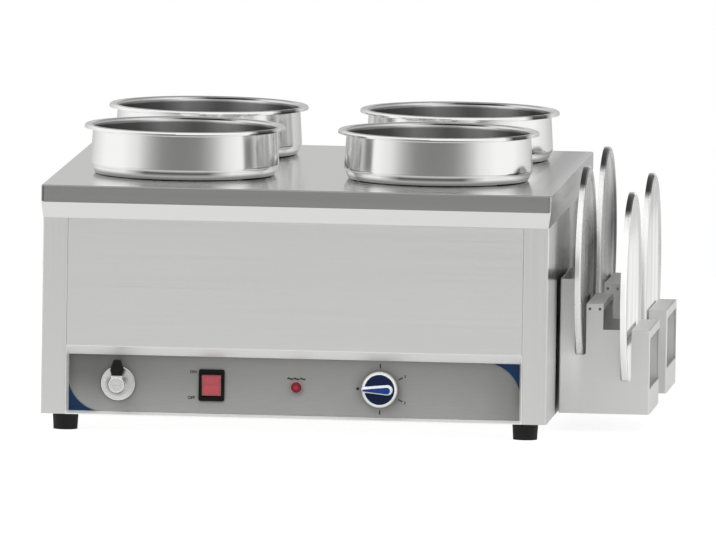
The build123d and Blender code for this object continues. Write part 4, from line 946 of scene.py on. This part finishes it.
# Photograph: its size in pixels, the view that its edges give, and where the base's middle falls
IMAGE_W, IMAGE_H = 716, 540
VIEW_AZIMUTH = math.radians(4.9)
VIEW_ELEVATION = math.radians(5.1)
VIEW_ROLL = math.radians(0.9)
BASE_PIXEL = (316.3, 411.7)
# A pixel's size, which holds in a plane this far in front of the base's middle
METRES_PER_PIXEL, SCALE_PLANE = 0.001, 0.07
LENS_MM, SENSOR_MM = 1250.0, 36.0


def seen_rays(tree):
    """1 for rays that see the background: from the camera, off metal and through glass."""
    path = add_node(tree, "ShaderNodeLightPath").outputs
    total = path["Is Camera Ray"]
    for ray in ("Is Glossy Ray", "Is Transmission Ray"):
        most = add_node(tree, "ShaderNodeMath", {0: total, 1: path[ray]}, operation="MAXIMUM")
        total = most.outputs["Value"]
    return total


def floor():
    """Round pale floor that keeps the object's shadow and fades into the white background."""
    disc = bmesh.new()
    bmesh.ops.create_circle(disc, cap_ends=True, segments=FLOOR_EDGES, radius=FLOOR_RADIUS)
    piece = mesh_object("floor", disc)
    material = bpy.data.materials.new("floor")
    material.use_nodes = True
    tree = material.node_tree
    tree.nodes.clear()
    mirrored = add_node(tree, "ShaderNodeLightPath").outputs["Is Glossy Ray"]
    levels = {"Value": mirrored, "To Min": FLOOR_SEEN, "To Max": FLOOR_MIRRORED}
    strength = add_node(tree, "ShaderNodeMapRange", levels).outputs["Result"]
    glow = add_node(tree, "ShaderNodeEmission", {"Strength": strength}).outputs["Emission"]
    matt = add_node(tree, "ShaderNodeBsdfDiffuse", {"Color": grey(FLOOR_GREY)}).outputs["BSDF"]
    shares = {0: seen_rays(tree), 1: FLOOR_SHARE}
    share = add_node(tree, "ShaderNodeMath", shares, operation="MULTIPLY").outputs["Value"]
    blend = add_node(tree, "ShaderNodeMixShader", {"Fac": share, 1: matt, 2: glow})
    add_node(tree, "ShaderNodeOutputMaterial", {"Surface": blend.outputs["Shader"]})
    piece.data.materials.append(material)


def studio():
    """White background, while metal sees walls, brightest at both sides, and a soft box above."""
    world = bpy.data.worlds.new("studio")
    world.use_nodes = True
    scene.world = world
    tree = world.node_tree
    tree.nodes.clear()

    def vector(operation, inputs):
        """Outputs of a vector node."""
        return add_node(tree, "ShaderNodeVectorMath", inputs, operation=operation).outputs

    def axis(source, name):
        """X, Y or Z of a vector."""
        return add_node(tree, "ShaderNodeSeparateXYZ", {"Vector": source}).outputs[name]

    def step(value, start, full):
        """Soft step from 0 to 1."""
        inputs = {"Value": value, "From Min": start, "From Max": full}
        made = add_node(tree, "ShaderNodeMapRange", inputs, interpolation_type="SMOOTHSTEP")
        return made.outputs["Result"]

    def mix(factor, *colours):
        """Mix two colours."""
        inputs = {MIX_FACTOR: factor, **dict(zip(MIX_COLOURS, colours))}
        return add_node(tree, "ShaderNodeMix", inputs, data_type="RGBA").outputs[MIX_COLOUR]

    direction = add_node(tree, "ShaderNodeTexCoord").outputs["Generated"]
    level = vector("MULTIPLY", {0: direction, 1: LEVEL})["Vector"]
    bearing = axis(vector("NORMALIZE", {0: level})["Vector"], "Y")
    from_behind = {"Value": bearing, "From Min": 1.0, "From Max": -1.0}
    place = add_node(tree, "ShaderNodeMapRange", from_behind).outputs["Result"]
    walls = add_node(tree, "ShaderNodeValToRGB", {"Fac": place})
    fill_ramp(walls.color_ramp, WALLS)
    rise = step(axis(direction, "Z"), SOFT_BOX_FROM, SOFT_BOX_FULL)
    lit = mix(rise, walls.outputs["Color"], grey(SOFT_BOX))
    toward = vector("DOT_PRODUCT", {0: direction, 1: CEILING_TOWARD})["Value"]
    room = mix(step(toward, CEILING_FROM, CEILING_FULL), lit, grey(CEILING))
    mirrored = add_node(tree, "ShaderNodeLightPath").outputs["Is Glossy Ray"]
    seen = mix(mirrored, grey(1), room)
    levels = {"Value": seen_rays(tree), "To Min": AMBIENT, "To Max": 1.0}
    strength = add_node(tree, "ShaderNodeMapRange", levels).outputs["Result"]
    background = add_node(tree, "ShaderNodeBackground", {"Color": seen, "Strength": strength})
    add_node(tree, "ShaderNodeOutputWorld", {"Surface": background.outputs["Background"]})


def soft_light(name, place, size, power):
    """Square soft box that looks at the object and that metal doesn't mirror."""
    light = bpy.data.lights.new(name, "AREA")
    light.size = size
    light.energy = power
    lamp_object = add_object(name, light)
    lamp_object.location = place
    lamp_object.visible_glossy = False
    lamp_object.rotation_euler = (LIGHT_TARGET - place).to_track_quat("-Z", "Y").to_euler()


def photo_camera():
    """Long lens at the photograph's angle, aimed so that the base's middle falls on its pixel."""
    sin_a, cos_a = math.sin(VIEW_AZIMUTH), math.cos(VIEW_AZIMUTH)
    sin_e, cos_e = math.sin(VIEW_ELEVATION), math.cos(VIEW_ELEVATION)
    back = Vector((sin_a * cos_e, -cos_a * cos_e, sin_e))
    level_right = Vector((cos_a, sin_a, 0))
    level_up = back.cross(level_right)
    right = level_right * math.cos(VIEW_ROLL) + level_up * math.sin(VIEW_ROLL)
    up = level_up * math.cos(VIEW_ROLL) - level_right * math.sin(VIEW_ROLL)
    deck_low, deck_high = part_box("top_deck")
    base = Vector(((deck_low.x + deck_high.x) / 2, (deck_low.y + deck_high.y) / 2, 0))
    across = (IMAGE_W / 2 - BASE_PIXEL[0]) * METRES_PER_PIXEL
    above = (BASE_PIXEL[1] - IMAGE_H / 2) * METRES_PER_PIXEL
    distance = IMAGE_W * METRES_PER_PIXEL * LENS_MM / SENSOR_MM + SCALE_PLANE
    camera = add_object("camera", bpy.data.cameras.new("camera"))
    camera.data.lens = LENS_MM
    camera.data.sensor_width = SENSOR_MM
    camera.data.clip_end = 2 * distance
    turn = Matrix((right, up, back)).transposed().to_4x4()
    place = base + right * across + up * above + back * distance
    camera.matrix_world = Matrix.Translation(place) @ turn
    scene.camera = camera


studio()
floor()
for name, (place, size, power) in LIGHTS.items():
    soft_light(name, place, size, power)
photo_camera()
scene.view_settings.view_transform = "Standard"
